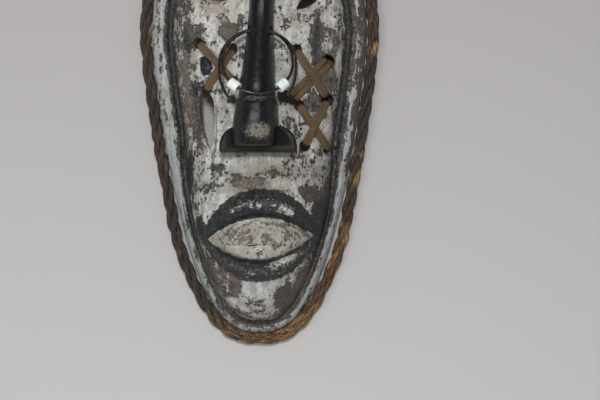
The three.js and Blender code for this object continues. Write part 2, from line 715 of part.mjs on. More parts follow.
for (const peg of NOSE_PEGS) {
  const geometry = new THREE.CylinderGeometry(PEG_RADIUS, PEG_RADIUS, peg.to - peg.from, 12);
  const piece = addPiece(peg.name, geometry, finishes.rawWood);
  piece.position.copy(place(peg.x, (peg.from + peg.to) / 2, peg.height));
}

for (const strip of STITCHES) {
  addPiece(`cheek_stitch_${strip.name}`, stitch(strip), finishes.rattan);
}

addPiece('hanging_eye', hangingEye(), finishes.iron);

// The hoop's own frame: x across, y up in its plane, z out of its plane towards the front.
const hoop = new THREE.Group();
hoop.position.copy(place(HOOP_CENTRE.x, HOOP_CENTRE.front, HOOP_CENTRE.height));
hoop.rotation.x = Math.PI / 2 - HOOP_TILT;
mask.add(hoop);
addPiece('hoop_wire', hoopWire(), finishes.wire, hoop);

const BEADS = [
  { name: 'bead_right', angle: RIGHT_BEAD_ANGLE, side: -1 },
  { name: 'bead_left', angle: LEFT_BEAD_ANGLE, side: 1 },
];
for (const { name, angle, side } of BEADS) {
  const piece = addPiece(name, bead(), finishes.bead, hoop);
  const y = HOOP_STRETCH * HOOP_INNER * Math.sin(angle);
  piece.position.set(HOOP_INNER * Math.cos(angle), y, side * HOOP_OFFSET);
  piece.rotation.z = angle;
}

export default mask;
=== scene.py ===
"""A carved wooden wall mask: painted shell, black nose, rope round the rim, rattan stitches over the
cracked cheeks and a coiled wire hoop with two beads.

Shapes are worked out in millimetres by three measures: x across, `height` above the lowest point of
the rope, and `front`, the distance forward of the wall. place() turns them into the row frame.
"""

import math

import bmesh
import bpy
import numpy as np
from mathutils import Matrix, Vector
from mathutils.bvhtree import BVHTree


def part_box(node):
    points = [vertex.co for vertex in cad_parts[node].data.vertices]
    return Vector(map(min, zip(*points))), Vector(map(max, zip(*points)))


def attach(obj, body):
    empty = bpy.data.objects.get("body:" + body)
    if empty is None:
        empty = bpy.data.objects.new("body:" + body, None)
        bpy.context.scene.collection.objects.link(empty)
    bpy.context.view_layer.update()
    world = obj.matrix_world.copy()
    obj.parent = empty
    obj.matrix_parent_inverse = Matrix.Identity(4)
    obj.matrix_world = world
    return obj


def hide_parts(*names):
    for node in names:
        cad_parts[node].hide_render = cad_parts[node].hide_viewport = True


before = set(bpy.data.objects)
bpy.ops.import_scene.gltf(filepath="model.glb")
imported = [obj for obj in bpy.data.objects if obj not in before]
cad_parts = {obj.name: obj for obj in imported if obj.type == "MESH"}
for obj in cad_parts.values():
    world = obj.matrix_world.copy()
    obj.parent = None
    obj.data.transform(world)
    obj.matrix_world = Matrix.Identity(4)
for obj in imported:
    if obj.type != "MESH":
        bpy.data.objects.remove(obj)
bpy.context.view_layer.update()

MM = 0.001
MOUNT_HEIGHT = -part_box("rim_rope")[0].z / MM      # height of the origin


# ---- measures and noise -----------------------------------------------------------------------

def place(x, front, height):
    x, front, height = np.broadcast_arrays(x, front, height)
    return np.stack([x, -front, height - MOUNT_HEIGHT], -1) * MM


def measures(points):
    return points[..., 0] / MM, -points[..., 1] / MM, points[..., 2] / MM + MOUNT_HEIGHT


def bell(value, middle, spread):
    return np.exp(-(((value - middle) / spread) ** 2))


def smooth(value, low, high):
    t = np.clip((value - low) / (high - low), 0, 1)
    return t * t * (3 - 2 * t)


def falling(value, low, high):
    return 1 - smooth(value, low, high)


def full_turn(count):
    """Even angles round a circle."""
    return np.linspace(0, 2 * np.pi, count, endpoint=False)


def lumps(x, front, height, size, seed):
    """Smooth random values from -1 to 1 that change over about `size` millimetres."""
    cells = 31
    lattice = np.random.default_rng(seed).uniform(-1, 1, (cells, cells, cells))
    at = np.stack(np.broadcast_arrays(x, front, height), -1) / size
    base = np.floor(at).astype(int)
    f = at - base
    f = f * f * (3 - 2 * f)
    total = 0.0
    for i in (0, 1):
        for j in (0, 1):
            for k in (0, 1):
                corner = lattice[tuple(((base + [i, j, k]) % cells)[..., axis] for axis in range(3))]
                share = (f[..., 0] if i else 1 - f[..., 0]) * (f[..., 1] if j else 1 - f[..., 1])
                total = total + corner * share * (f[..., 2] if k else 1 - f[..., 2])
    return total


# ---- meshes -----------------------------------------------------------------------------------

def skin(rows, ends="capped"):
    """Points and faces of a closed skin over rows of points, each row a closed loop.

    The first and last rows are filled in ("capped"), folded flat onto their own middle line
    ("folded"), or joined to each other ("joined").
    """
    count, around = rows.shape[:2]
    row, step = np.meshgrid(np.arange(count - 1), np.arange(around), indexing="ij")
    a = row * around + step
    b = row * around + (step + 1) % around
    index = np.arange(count * around)
    if ends == "folded":
        left = np.arange(around // 2 + 1, around)
        for start in (0, (count - 1) * around):
            index[start + left] = start + around - left
    if ends == "joined":
        index[-around:] = index[:around]
    quads = index[np.stack([a, b, b + around, a + around], -1).reshape(-1, 4)]
    faces = [list(dict.fromkeys(quad)) for quad in quads.tolist()]
    faces = [face for face in faces if len(face) > 2]
    if ends == "capped":
        faces += [list(range(around)), list(range((count - 1) * around, count * around))]
    used = np.unique(np.concatenate([np.array(face) for face in faces]))
    number = np.full(count * around, -1)
    number[used] = np.arange(len(used))
    return rows.reshape(-1, 3)[used], [number[face].tolist() for face in faces]


def joined(parts):
    """Several (points, faces) as one."""
    points, faces, start = [], [], 0
    for part_points, part_faces in parts:
        points.append(part_points)
        faces += [[i + start for i in face] for face in part_faces]
        start += len(part_points)
    return np.concatenate(points), faces


def make_mesh(name, points, faces):
    mesh = bpy.data.meshes.new(name)
    mesh.from_pydata(points.tolist(), [], faces)
    work = bmesh.new()
    work.from_mesh(mesh)
    bmesh.ops.recalc_face_normals(work, faces=work.faces)
    work.to_mesh(mesh)
    work.free()
    mesh.shade_smooth()
    return mesh


def add_piece(name, mesh, material, slot, body, *nodes):
    piece = bpy.data.objects.new(name, mesh)
    bpy.context.scene.collection.objects.link(piece)
    mesh.materials.clear()
    mesh.materials.append(material)
    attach(piece, body)
    if nodes:
        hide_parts(*nodes)
    return piece


def coordinates(mesh):
    flat = np.empty(len(mesh.vertices) * 3)
    mesh.vertices.foreach_get("co", flat)
    return flat.reshape(-1, 3)


def store(mesh, name, values):
    """Keeps one number for each point of the mesh, for its material to read."""
    attribute = mesh.attributes.new(name, "FLOAT", "POINT")
    attribute.data.foreach_set("value", np.asarray(values, np.float32))


def store_places(mesh, name, values):
    """Keeps three numbers for each point of the mesh."""
    attribute = mesh.attributes.new(name, "FLOAT_VECTOR", "POINT")
    attribute.data.foreach_set("vector", np.asarray(values, np.float32).ravel())


def tube(path, side, radius, sides=16):
    """Rows of a bar along a path. `side` points across it, and radius is a number or one per point."""
    along = np.gradient(path, axis=0)
    along /= np.linalg.norm(along, axis=1, keepdims=True)
    across = side - along * (side * along).sum(1, keepdims=True)
    across /= np.linalg.norm(across, axis=1, keepdims=True)
    up = np.cross(along, across)
    turn = full_turn(sides)[None, :, None]
    radius = np.broadcast_to(radius, (len(path), sides))[..., None]
    return path[:, None] + radius * (across[:, None] * np.cos(turn) + up[:, None] * np.sin(turn))


def combined(mesh, other_mesh, operation):
    """The mesh with another taken out of it by "DIFFERENCE" or joined to it by "UNION"."""
    whole = bpy.data.objects.new("whole", mesh)
    other = bpy.data.objects.new("other", other_mesh)
    for item in (whole, other):
        bpy.context.scene.collection.objects.link(item)
    boolean = whole.modifiers.new("boolean", "BOOLEAN")
    boolean.object = other
    boolean.operation = operation
    boolean.solver = "MANIFOLD"
    depsgraph = bpy.context.evaluated_depsgraph_get()
    result = bpy.data.meshes.new_from_object(whole.evaluated_get(depsgraph))
    for item in (whole, other):
        bpy.data.objects.remove(item)
    result.shade_smooth()
    return result


# ---- materials --------------------------------------------------------------------------------

MIX_SHARE, MIX_A, MIX_B, MIX_RESULT = 0, 6, 7, 2      # sockets of a Mix node for colours


class Surface:
    """A node material under construction. Each method adds a node and returns its result."""

    def __init__(self, name, **fixed):
        self.material = bpy.data.materials.new(name)
        self.material.use_nodes = True
        self.tree = self.material.node_tree
        self.shader = self.tree.nodes["Principled BSDF"]
        for socket, value in fixed.items():
            self.shader.inputs[socket.replace("_", " ")].default_value = value
        self.place = self.tree.nodes.new("ShaderNodeTexCoord").outputs["Object"]
        self.seed = 0

    def node(self, kind, inputs, output=0, **settings):
        node = self.tree.nodes.new(kind)
        for key, value in settings.items():
            setattr(node, key, value)
        for key, value in inputs.items():
            socket = node.inputs[key]
            if isinstance(value, bpy.types.NodeSocket):
                self.tree.links.new(value, socket)
            else:
                socket.default_value = value
        return node.outputs[output]

    def noise(self, size, detail=5.0, roughness=0.6, stretch=(1, 1, 1), distortion=0.0):
        """Noise with lumps about `size` millimetres across, longer along an axis by its stretch."""
        self.seed += 1
        scale = [1 / (size * MM * s) for s in stretch]
        moved = self.node("ShaderNodeMapping", {
            "Vector": self.place, "Scale": scale, "Location": (self.seed * 3.1, self.seed * 1.7, 0)})
        return self.node("ShaderNodeTexNoise", {
            "Vector": moved, "Scale": 1.0, "Detail": detail, "Roughness": roughness,
            "Distortion": distortion})

    def streaks(self, detail=5.0, roughness=0.65):
        """Noise in the stored place along and across a strand, which makes long fibres."""
        along = self.node("ShaderNodeAttribute", {}, output="Vector", attribute_name="lay_place")
        return self.node("ShaderNodeTexNoise", {
            "Vector": along, "Scale": 1.0, "Detail": detail, "Roughness": roughness})

    def stored(self, name):
        return self.node("ShaderNodeAttribute", {}, output="Fac", attribute_name=name)

    def sum(self, a, b, weight=1.0):
        """a + weight * b."""
        return self.node("ShaderNodeMath", {0: b, 1: weight, 2: a}, operation="MULTIPLY_ADD")

    def times(self, a, b):
        return self.node("ShaderNodeMath", {0: a, 1: b}, operation="MULTIPLY")

    def step(self, value, low, high, start=0.0, end=1.0):
        """A smooth step from start to end as the value goes from low to high."""
        return self.node("ShaderNodeMapRange", {
            "Value": value, "From Min": low, "From Max": high, "To Min": start, "To Max": end},
            interpolation_type="SMOOTHSTEP")

    def mix(self, share, a, b):
        """Colour a where share is 0, colour b where it is 1."""
        a, b = (c if isinstance(c, bpy.types.NodeSocket) else (*c, 1) for c in (a, b))
        inputs = {MIX_SHARE: share, MIX_A: a, MIX_B: b}
        return self.node("ShaderNodeMix", inputs, output=MIX_RESULT, data_type="RGBA")

    def layered(self, colour, *layers):
        """The colour with (share, strength, colour) layers over it, one after another."""
        for share, strength, layer in layers:
            colour = self.mix(self.times(share, strength), colour, layer)
        return colour

    def set(self, **linked):
        for socket, value in linked.items():
            self.tree.links.new(value, self.shader.inputs[socket.replace("_", " ")])

    def bump(self, *layers):
        """Bumps from (height, depth in millimetres) layers."""
        normal = None
        for height, depth in layers:
            inputs = {"Height": height, "Strength": 1.0, "Distance": depth * MM}
            if normal:
                inputs["Normal"] = normal
            normal = self.node("ShaderNodeBump", inputs)
        self.tree.links.new(normal, self.shader.inputs["Normal"])


def painted_wood():
    """Worn white paint over dark wood, with the tints, bare places, black paint and painted shade stored on
    the mesh.
    """
    s = Surface("painted_wood", Specular_IOR_Level=0.3)
    fine = s.noise(2.6, detail=8, roughness=0.72)
    middle = s.noise(9, detail=6, roughness=0.68)
    broad = s.noise(34, detail=4, roughness=0.6)
    grain = s.noise(1.6, detail=5, roughness=0.65, stretch=(1, 1, 14))
    scratches = s.noise(1.3, detail=4, roughness=0.7, stretch=(5, 1, 1.2), distortion=0.4)
    speck = s.noise(1.1, detail=4, roughness=0.8)

    wear = s.sum(s.sum(s.times(fine, 0.9), middle, 1.0), grain, 0.35)
    painted = s.step(s.sum(s.stored("paint"), s.sum(wear, -1.125), 1.55), 0.46, 0.54)

    wood = s.mix(s.step(grain, 0.35, 0.66), (0.016, 0.015, 0.015), (0.068, 0.060, 0.052))
    bruised = s.times(s.stored("mauve"), s.step(middle, 0.3, 0.62))
    dusty = s.step(s.sum(fine, speck, 0.5), 0.62, 0.86)
    tan = s.mix(s.step(fine, 0.36, 0.64), (0.105, 0.084, 0.060), (0.30, 0.262, 0.20))
    wood = s.mix(bruised, wood, (0.120, 0.078, 0.066))
    wood = s.mix(s.times(dusty, 0.24), wood, (0.28, 0.255, 0.235))
    wood = s.mix(s.stored("warm"), wood, tan)

    wash = s.noise(6.5, detail=7, roughness=0.72, stretch=(1, 1, 2.4), distortion=0.5)
    blots = s.noise(4.2, detail=7, roughness=0.75)
    gathered = s.step(s.noise(17, detail=3), 0.42, 0.62, 0.15, 1.0)
    stained = s.step(s.noise(22, detail=6, roughness=0.7), 0.50, 0.63)
    specks = s.times(s.step(speck, 0.57, 0.67), 0.85)
    paint = s.layered(
        s.mix(s.step(broad, 0.35, 0.65), (0.52, 0.535, 0.52), (0.66, 0.672, 0.655)),
        (s.step(middle, 0.40, 0.64), 0.62, (0.37, 0.34, 0.31)),
        (s.step(wash, 0.47, 0.60), 0.75, (0.28, 0.250, 0.228)),
        (s.step(blots, 0.50, 0.64), 0.55, (0.24, 0.225, 0.20)),
        (s.step(wash, 0.47, 0.38), 0.8, (0.63, 0.665, 0.645)),
        (s.stored("warm"), 0.78, (0.40, 0.335, 0.262)),
        (s.stored("dirt"), 0.8, (0.225, 0.220, 0.182)),
        (s.stored("blue"), 0.85, (0.285, 0.328, 0.336)),
        (s.step(fine, 0.50, 0.62), 0.5, (0.15, 0.138, 0.125)),
        (stained, 0.5, (0.23, 0.205, 0.18)),
        (specks, gathered, (0.075, 0.068, 0.062)),
    )
    colour = s.mix(painted, wood, paint)

    rubbed = s.sum(s.sum(s.times(scratches, 0.9), blots, 0.8), -0.85)
    # black paint, which also carries the painted shadow of the left bead and the painted shade on the
    # window floor
    black_and_shade = s.step(s.sum(s.stored("black_and_shade"), rubbed, 2.1), 0.36, 0.60)
    soot = s.layered(
        s.mix(s.step(fine, 0.35, 0.7), (0.010, 0.011, 0.012), (0.044, 0.046, 0.050)),
        (s.step(blots, 0.52, 0.66), 0.7, (0.070, 0.074, 0.078)),
        (s.step(scratches, 0.58, 0.72), 0.6, (0.25, 0.25, 0.24)),
    )
    colour = s.mix(black_and_shade, colour, soot)
    hollow = s.mix(s.step(grain, 0.3, 0.7), (0.045, 0.034, 0.025), (0.135, 0.105, 0.074))
    hollow = s.mix(s.step(broad, 0.52, 0.66), hollow, (0.045, 0.038, 0.032))
    colour = s.mix(s.stored("raw"), colour, hollow)
    colour = s.mix(s.stored("grime"), colour, (0.018, 0.016, 0.015))
    s.set(Base_Color=colour, Roughness=s.step(s.sum(black_and_shade, fine, 0.5), 0.2, 1.2, 0.85, 0.55))
    s.bump((painted, 0.30), (wear, 0.55), (scratches, 0.18), (s.noise(0.7, detail=2), 0.07))
    return s.material


def black_wood():
    """Smooth black stain with satin sheen, pale with wear on the tip, and a painted highlight along the
    ridge and on the step under the wire.
    """
    s = Surface("black_wood", Specular_IOR_Level=0.24)
    fine = s.noise(1.2, detail=7, roughness=0.75)
    grain = s.noise(1.3, detail=5, stretch=(1, 1, 18))
    scuffs = s.noise(2.4, detail=6, roughness=0.7)
    patchy = s.noise(9, detail=5, roughness=0.65)
    stain = s.layered(
        s.mix(s.step(grain, 0.35, 0.68), (0.0022, 0.0028, 0.0038), (0.0070, 0.0082, 0.0105)),
        (s.step(patchy, 0.52, 0.66), 0.55, (0.016, 0.0165, 0.017)),
        (s.step(scuffs, 0.60, 0.72), 0.45, (0.040, 0.041, 0.042)),
        (s.stored("brown"), 1.0, (0.013, 0.011, 0.009)),
    )
    # pale patches from the stored wear, which also holds the painted highlights on the ridge and the step
    wear_and_sheen = s.step(s.sum(s.stored("wear_and_sheen"), s.sum(fine, -0.5), 2.4), 0.45, 0.75)
    pale = s.mix(s.step(scuffs, 0.36, 0.60), (0.045, 0.040, 0.032), (0.225, 0.205, 0.172))
    speck = s.times(s.step(s.noise(1.6, detail=6, roughness=0.85), 0.645, 0.68), 0.45)
    colour = s.mix(speck, s.mix(wear_and_sheen, stain, pale), (0.22, 0.21, 0.19))
    rough = s.step(s.sum(s.sum(s.times(wear_and_sheen, 0.9), scuffs, 0.7), patchy, 0.5), 0.35, 1.5, 0.26, 0.8)
    s.set(Base_Color=colour, Roughness=rough)
    s.bump((scuffs, 0.22), (grain, 0.12), (fine, 0.07))
    return s.material


def raw_wood():
    s = Surface("raw_wood", Roughness=0.8)
    grain = s.noise(1.1, detail=6, stretch=(1, 16, 1))
    colour = s.mix(s.step(grain, 0.3, 0.7), (0.16, 0.11, 0.065), (0.34, 0.25, 0.15))
    s.set(Base_Color=colour)
    s.bump((grain, 0.25))
    return s.material


def plant_rope():
    """Twisted fibre, from dark brown to golden by the tone stored on each strand."""
    s = Surface("plant_rope", Specular_IOR_Level=0.2)
    fibre = s.stored("fibre")
    streak = s.streaks(detail=6, roughness=0.75)
    hair = s.noise(0.9, detail=5, roughness=0.75)
    blotch = s.noise(9, detail=5, roughness=0.7)
    yarn = s.step(s.sum(s.sum(s.times(fibre, 0.45), streak, 1.3), hair, 0.35), 0.62, 1.42)
    dark = s.mix(yarn, (0.009, 0.007, 0.007), (0.076, 0.056, 0.045))
    dark = s.mix(s.step(blotch, 0.46, 0.60), dark, (0.046, 0.043, 0.044))
    dark = s.mix(s.times(s.step(streak, 0.60, 0.72), 0.6), dark, (0.200, 0.165, 0.135))
    red = s.mix(yarn, (0.030, 0.015, 0.009), (0.170, 0.092, 0.050))
    gold = s.mix(yarn, (0.040, 0.022, 0.008), (0.335, 0.205, 0.082))
    colour = s.mix(s.stored("reddish"), dark, red)
    toned = s.step(s.sum(s.stored("tone"), s.sum(blotch, -0.5), 1.9), 0.30, 0.80)
    colour = s.mix(toned, colour, gold)
    glint = s.times(s.step(streak, 0.66, 0.76), s.stored("tone"))
    colour = s.mix(glint, colour, (0.50, 0.38, 0.20))
    grime = s.step(s.noise(5, detail=4, roughness=0.7), 0.55, 0.72)
    colour = s.mix(s.times(grime, 0.75), colour, (0.014, 0.012, 0.012))
    s.set(Base_Color=colour, Roughness=s.step(hair, 0.3, 0.7, 0.62, 0.9))
    s.bump((yarn, 0.7), (hair, 0.3))
    return s.material


def rattan():
    """Split cane, flat and dull, its fibres along the strip."""
    s = Surface("rattan", Specular_IOR_Level=0.2)
    streak = s.streaks(detail=6, roughness=0.7)
    mottle = s.noise(4.5, detail=5, roughness=0.65)
    fine = s.noise(0.7, detail=5)
    colour = s.layered(
        s.mix(s.step(streak, 0.36, 0.64), (0.066, 0.044, 0.022), (0.128, 0.086, 0.046)),
        (s.step(mottle, 0.45, 0.66), 0.5, (0.112, 0.064, 0.031)),
        (s.step(fine, 0.58, 0.72), 0.35, (0.175, 0.135, 0.088)),
    )
    s.set(Base_Color=colour, Roughness=s.step(mottle, 0.3, 0.7, 0.65, 0.88))
    s.bump((streak, 0.25), (fine, 0.12))
    return s.material


def black_wire():
    s = Surface("black_wire", Specular_IOR_Level=0.4, Coat_Weight=0.2, Coat_Roughness=0.15)
    fine = s.noise(1.2, detail=6, roughness=0.7)
    colour = s.mix(s.step(fine, 0.4, 0.62), (0.005, 0.005, 0.006), (0.014, 0.012, 0.012))
    colour = s.mix(s.times(s.step(s.noise(3.5, detail=5), 0.54, 0.64), 0.7), colour, (0.050, 0.034, 0.024))
    s.set(Base_Color=colour, Roughness=s.step(fine, 0.35, 0.7, 0.2, 0.42))
    s.bump((fine, 0.04))
    return s.material


def white_bead(name, tint):
    s = Surface(name, Specular_IOR_Level=0.45, Subsurface_Weight=0.08, Subsurface_Scale=0.002)
    fine = s.noise(2.2, detail=6, roughness=0.6)
    cloud = s.noise(4.5, detail=3)
    colour = s.mix(s.step(cloud, 0.38, 0.62), tint, (0.77, 0.80, 0.785))
    colour = s.mix(s.times(s.step(fine, 0.60, 0.72), 0.45), colour, (0.46, 0.47, 0.45))
    s.set(Base_Color=colour, Roughness=s.step(fine, 0.3, 0.7, 0.35, 0.6))
    s.bump((fine, 0.06))
    return s.material


def iron():
    s = Surface("iron", Metallic=0.75)
    rust = s.noise(1.6, detail=7, roughness=0.75)
    colour = s.mix(s.step(rust, 0.42, 0.62), (0.070, 0.066, 0.062), (0.095, 0.045, 0.024))
    s.set(Base_Color=colour, Roughness=s.step(rust, 0.35, 0.65, 0.45, 0.85))
    s.bump((rust, 0.12))
    return s.material


painted_wood_finish = painted_wood()
black_wood_finish = black_wood()
raw_wood_finish = raw_wood()
rope_finish = plant_rope()
rattan_finish = rattan()
wire_finish = black_wire()
iron_finish = iron()


# ---- outline of the shell ---------------------------------------------------------------------

WIDEST_HEIGHT = 257
SHELL_HALF_WIDTH = 89.5
CROWN_RISE = 134.5
CHIN_DROP = 246.5
BACK_RIM_WIDTH = 20
RIM_WIDTH = 26
RIM_NARROWING = 0.54
FACE_FRONT = 30
FACE_MIDDLE = 205
SPINE_SHARE = 0.72


def edge_points(count):
    """Even points round the shell's edge from the chin up the right side: x, height and the way out."""
    angle = np.linspace(-np.pi / 2, np.pi / 2, 4001)
    across = np.clip(np.cos(angle), 0, None)
    rise = np.abs(np.sin(angle))
    x = SHELL_HALF_WIDTH * np.where(angle < 0, across ** 0.769, across)
    height = WIDEST_HEIGHT + np.where(angle < 0, -CHIN_DROP * rise ** 1.667, CROWN_RISE * rise)
    x[[0, -1]] = 0
    run = np.concatenate([[0], np.cumsum(np.hypot(np.diff(x), np.diff(height)))])
    even = np.linspace(0, run[-1], count // 2 + 1)
    right = np.stack([np.interp(even, run, x), np.interp(even, run, height)], 1)
    left = right[1:-1][::-1] * [-1, 1]
    ring = np.concatenate([right, left])
    along = np.roll(ring, -1, 0) - np.roll(ring, 1, 0)
    along /= np.linalg.norm(along, axis=1, keepdims=True)
    return ring[:, 0], ring[:, 1], along[:, 1], -along[:, 0]


def rim_width(height):
    return RIM_WIDTH * (1 - (1 - RIM_NARROWING) * falling(height, 95, 185))


# ---- relief of the face -----------------------------------------------------------------------

MOUTH_X = 1.6
MOUTH_HEIGHT = 85.8
LIP_HALF_WIDTH = 48
MOUTH_HALF_WIDTH = 43
EYES = [
    {"x": -33.5, "height": 287, "slant": math.radians(-15), "half_length": 12, "half_height": 6.4},
    {"x": 40.8, "height": 282.3, "slant": math.radians(39), "half_length": 12.8, "half_height": 4.4},
]
# x, height and radius
HOLES = [
    (-48.5, 247.5, 4), (-20.5, 242, 4), (-20, 216, 4), (-42.5, 209, 4.4), (30.6, 241.4, 4.2),
    (56.6, 233.4, 5.2), (20.5, 204, 4.8), (28, 202.6, 5.4), (32.8, 197, 4), (55.8, 202.6, 5),
    (37.5, 164, 4.2), (57, 161.5, 4.2),
]
CRACK = [(-34.2, 196), (-33.6, 180), (-34.4, 163), (-37.5, 156), (-35.5, 148), (-36.5, 139)]


def middle_front(height):
    return 48 + 14 * bell(height, 338, 44) + 14 * bell(height, 92, 46) - 3 * bell(height, 284, 18)


def mouth_shares(x, height):
    """Where a point lies on the mouth: across it, above its line, and out over the lips, 0 to 1."""
    across = np.abs(x - MOUTH_X)
    line = MOUTH_HEIGHT + 0.035 * (x - MOUTH_X) + 4 * np.minimum(across / MOUTH_HALF_WIDTH, 1.1) ** 2
    rise = height - line
    inner = np.where(rise > 0, 22, 14) * np.clip(1 - (across / MOUTH_HALF_WIDTH) ** 2, 0, None)
    outer = np.where(rise > 0, 43, 31) * np.clip(1 - (across / LIP_HALF_WIDTH) ** 2.2, 1e-6, None) ** 0.8
    share = (np.abs(rise) - inner) / np.maximum(outer - inner, 1e-3)
    share = np.where(across >= LIP_HALF_WIDTH, 2, share)
    within = np.abs(rise) / np.maximum(inner, 1e-3)
    return across, rise, share, within


def lips(x, height):
    """Thick lips round the bulge of a closed mouth, with creases between them and a parting line."""
    across, rise, share, within = mouth_shares(x, height)
    taper = 1 - np.minimum(across / LIP_HALF_WIDTH, 1) ** 4
    roll = 11 * np.sin(np.pi * np.clip(share, 0, 1)) ** 0.8 * taper
    bulge = 4.6 * np.clip(1 - within ** 2, 0, 1) * np.clip(1 - (across / MOUTH_HALF_WIDTH) ** 2, 0, 1)
    lip_edge = 1.1 * bell(within, 0.88, 0.10) * np.clip(1 - (across / 40) ** 2, 0, 1) * (share < 0)
    crease = -3.0 * bell(share, 0.0, 0.09) * (across < 46)
    ledge = -1.6 * bell(share, 1.03, 0.07) * taper * (rise > 0)
    line = 3.2 - 2.0 * (x / 30) ** 2 + 0.5 * np.sin(x / 3.1)
    parting = -1.3 * bell(rise - line + 4, 0, 0.9) * smooth(25 - np.abs(x + 7), 0, 8) * (share < 0)
    return np.where(share < 1, roll * (share > 0), 0) + bulge + lip_edge + crease + ledge + parting


def eyes_and_brows(x, height):
    relief = 0.0
    for eye in EYES:
        dx, dh = x - eye["x"], height - eye["height"]
        along = dx * math.cos(eye["slant"]) + dh * math.sin(eye["slant"])
        over = -dx * math.sin(eye["slant"]) + dh * math.cos(eye["slant"])
        reach = np.hypot(along / 15, over / 11)
        relief = relief + 5 * bell(reach, 0.95, 0.4) - 5 * bell(np.hypot(dx, dh), 0, 24)
        relief = relief - 0.9 * bell(reach, 1.55, 0.12) * (over < 2)
    brow = 312 - 0.008 * (np.abs(x) - 30) ** 2
    span = 1 / (1 + np.exp((np.abs(x) - 56) / 4))
    return relief + 8 * bell(height, brow, 8) * span


def distance_to_line(x, height, line):
    nearest = np.full(np.shape(x), 1e3)
    for (x0, h0), (x1, h1) in zip(line, line[1:]):
        length = (x1 - x0) ** 2 + (h1 - h0) ** 2
        t = np.clip(((x - x0) * (x1 - x0) + (height - h0) * (h1 - h0)) / length, 0, 1)
        reach = np.hypot(x - x0 - t * (x1 - x0), height - h0 - t * (h1 - h0))
        nearest = np.minimum(nearest, reach)
    return nearest


def face_front(x, height, share):
    """Front of the carved face; `share` runs from 0 on the middle line to 1 at the rim."""
    dome = FACE_FRONT + (middle_front(height) - FACE_FRONT) * (1 - share ** 3)
    fade = 1 - share ** 8
    chin = 4 * bell(height, 38, 12) * bell(x, 0, 26)
    fold = -1.4 * bell(distance_to_line(x, height, [(-30, 152), (-44, 128), (-52, 108)]), 0, 3.4)
    fold = fold - 1.4 * bell(distance_to_line(x, height, [(31, 154), (45, 130), (52, 110)]), 0, 3.4)
    front = dome + fade * (lips(x, height) + eyes_and_brows(x, height) + chin + fold)
    wobble = 0.8 * lumps(x, 0, height, 23, 1) + 0.42 * lumps(x, 0, height, 7.5, 2)
    gouges = 0.28 * lumps(x, 0, height * 0.45, 3.3, 3) + 0.12 * lumps(x, 0, height, 1.9, 4)
    front = front + fade * wobble + gouges
    for hole_x, hole_height, radius in HOLES:
        reach = np.hypot(x - hole_x, height - hole_height)
        front = front - 1.3 * bell(reach, radius * 0.7, radius * 0.5)
    wander = x + 0.9 * lumps(0, 0, height, 3.1, 5)
    return front - 1.3 * bell(distance_to_line(wander, height, CRACK), 0, 0.7)


def hollow_front(x, height, share):
    middle = 37 + 10 * bell(height, 338, 44) + 10 * bell(height, 92, 46)
    gouges = 0.7 * lumps(x * 1.4, 9, height * 0.7, 9, 6) + 0.25 * lumps(x, 9, height * 0.5, 3.4, 7)
    return middle * (1 - share ** 3.5) + gouges * smooth(1 - share, 0, 0.15)


# ---- the shell --------------------------------------------------------------------------------

AROUND = 700
# the rim from its edge, 0, to the face, 1: a rounded band, a groove and a slope, and the front of each
RIM_SHARES = [0, 0.03, 0.10, 0.24, 0.28, 0.36, 0.44, 0.47, 0.50, 0.53, 0.60, 0.635, 0.68, 0.74, 0.86, 1]
RIM_FRONTS = [8.6, 10.2, 12.0, 14.9, 15, 14.2, 13.7, 13.1, 9.4, 8.7, 8.4, 8.7, 11.5, 16.5, 24.3, FACE_FRONT]
RIM_ROWS = 30
FACE_ROWS = 62
HOLLOW_ROWS = 17


def shell_points():
    """Rows of the shell from the middle of the hollow, round the rim, to the middle of the face."""
    edge_x, edge_height, out_x, out_height = edge_points(AROUND)
    width = rim_width(edge_height)

    def inset(depth):
        return edge_x - depth * out_x, edge_height - depth * out_height

    def inner(depth, share):
        end_x, end_height = inset(depth)
        height = FACE_MIDDLE + (end_height - FACE_MIDDLE) * (SPINE_SHARE + share * (1 - SPINE_SHARE))
        return share * end_x, height

    rows = []
    for share in np.linspace(0, 0.985, HOLLOW_ROWS):
        x, height = inner(BACK_RIM_WIDTH, share)
        rows.append(place(x, hollow_front(x, height, share), height))
    for depth in (BACK_RIM_WIDTH, BACK_RIM_WIDTH * 0.5, 1.2, 0.3):
        x, height = inset(depth)
        rows.append(place(x, 0.0 if depth > 1 else 0.35, height))
    for front in (1.4, 5.0):
        rows.append(place(edge_x, front, edge_height))
    for step in range(RIM_ROWS):
        share = step / RIM_ROWS
        x, height = inset(share * width)
        front = np.interp(share, RIM_SHARES, RIM_FRONTS)
        rough = 0.30 * lumps(x, 0, height, 9, 8) + 0.22 * lumps(x, 0, height, 2.6, 9)
        rows.append(place(x, front + rough * smooth(share, 0, 0.06), height))
    for share in np.linspace(1, 0, FACE_ROWS):
        x, height = inner(width, share)
        rows.append(place(x, face_front(x, height, share), height))
    return np.array(rows)


def rounded(outline, passes=3):
    """A closed outline with its corners cut off again and again."""
    points = np.array(outline, float)
    for _ in range(passes):
        following = np.roll(points, -1, 0)
        points = np.stack([0.75 * points + 0.25 * following, 0.25 * points + 0.75 * following], 1)
        points = points.reshape(-1, 2)
    return points


def prism(back_outline, front_outline, back=18.0, front=70.0, ragged=0.35, seed=11):
    """A ragged cutter from one outline at the back to another in front."""
    rows = []
    for t in np.linspace(0, 1, 9):
        points = (1 - t) * back_outline + t * front_outline
        at = back + t * (front - back)
        x, height = points[:, 0], points[:, 1]
        shift = ragged * lumps(x, at, height, 2.7, seed)
        rows.append(place(x + shift, at, height + ragged * lumps(x, at, height, 3.1, seed + 1)))
    return skin(np.array(rows))


def ring_outline(x, height, radius, points=22):
    turn = full_turn(points)
    return np.stack([x + radius * np.cos(turn), height + radius * np.sin(turn)], 1)


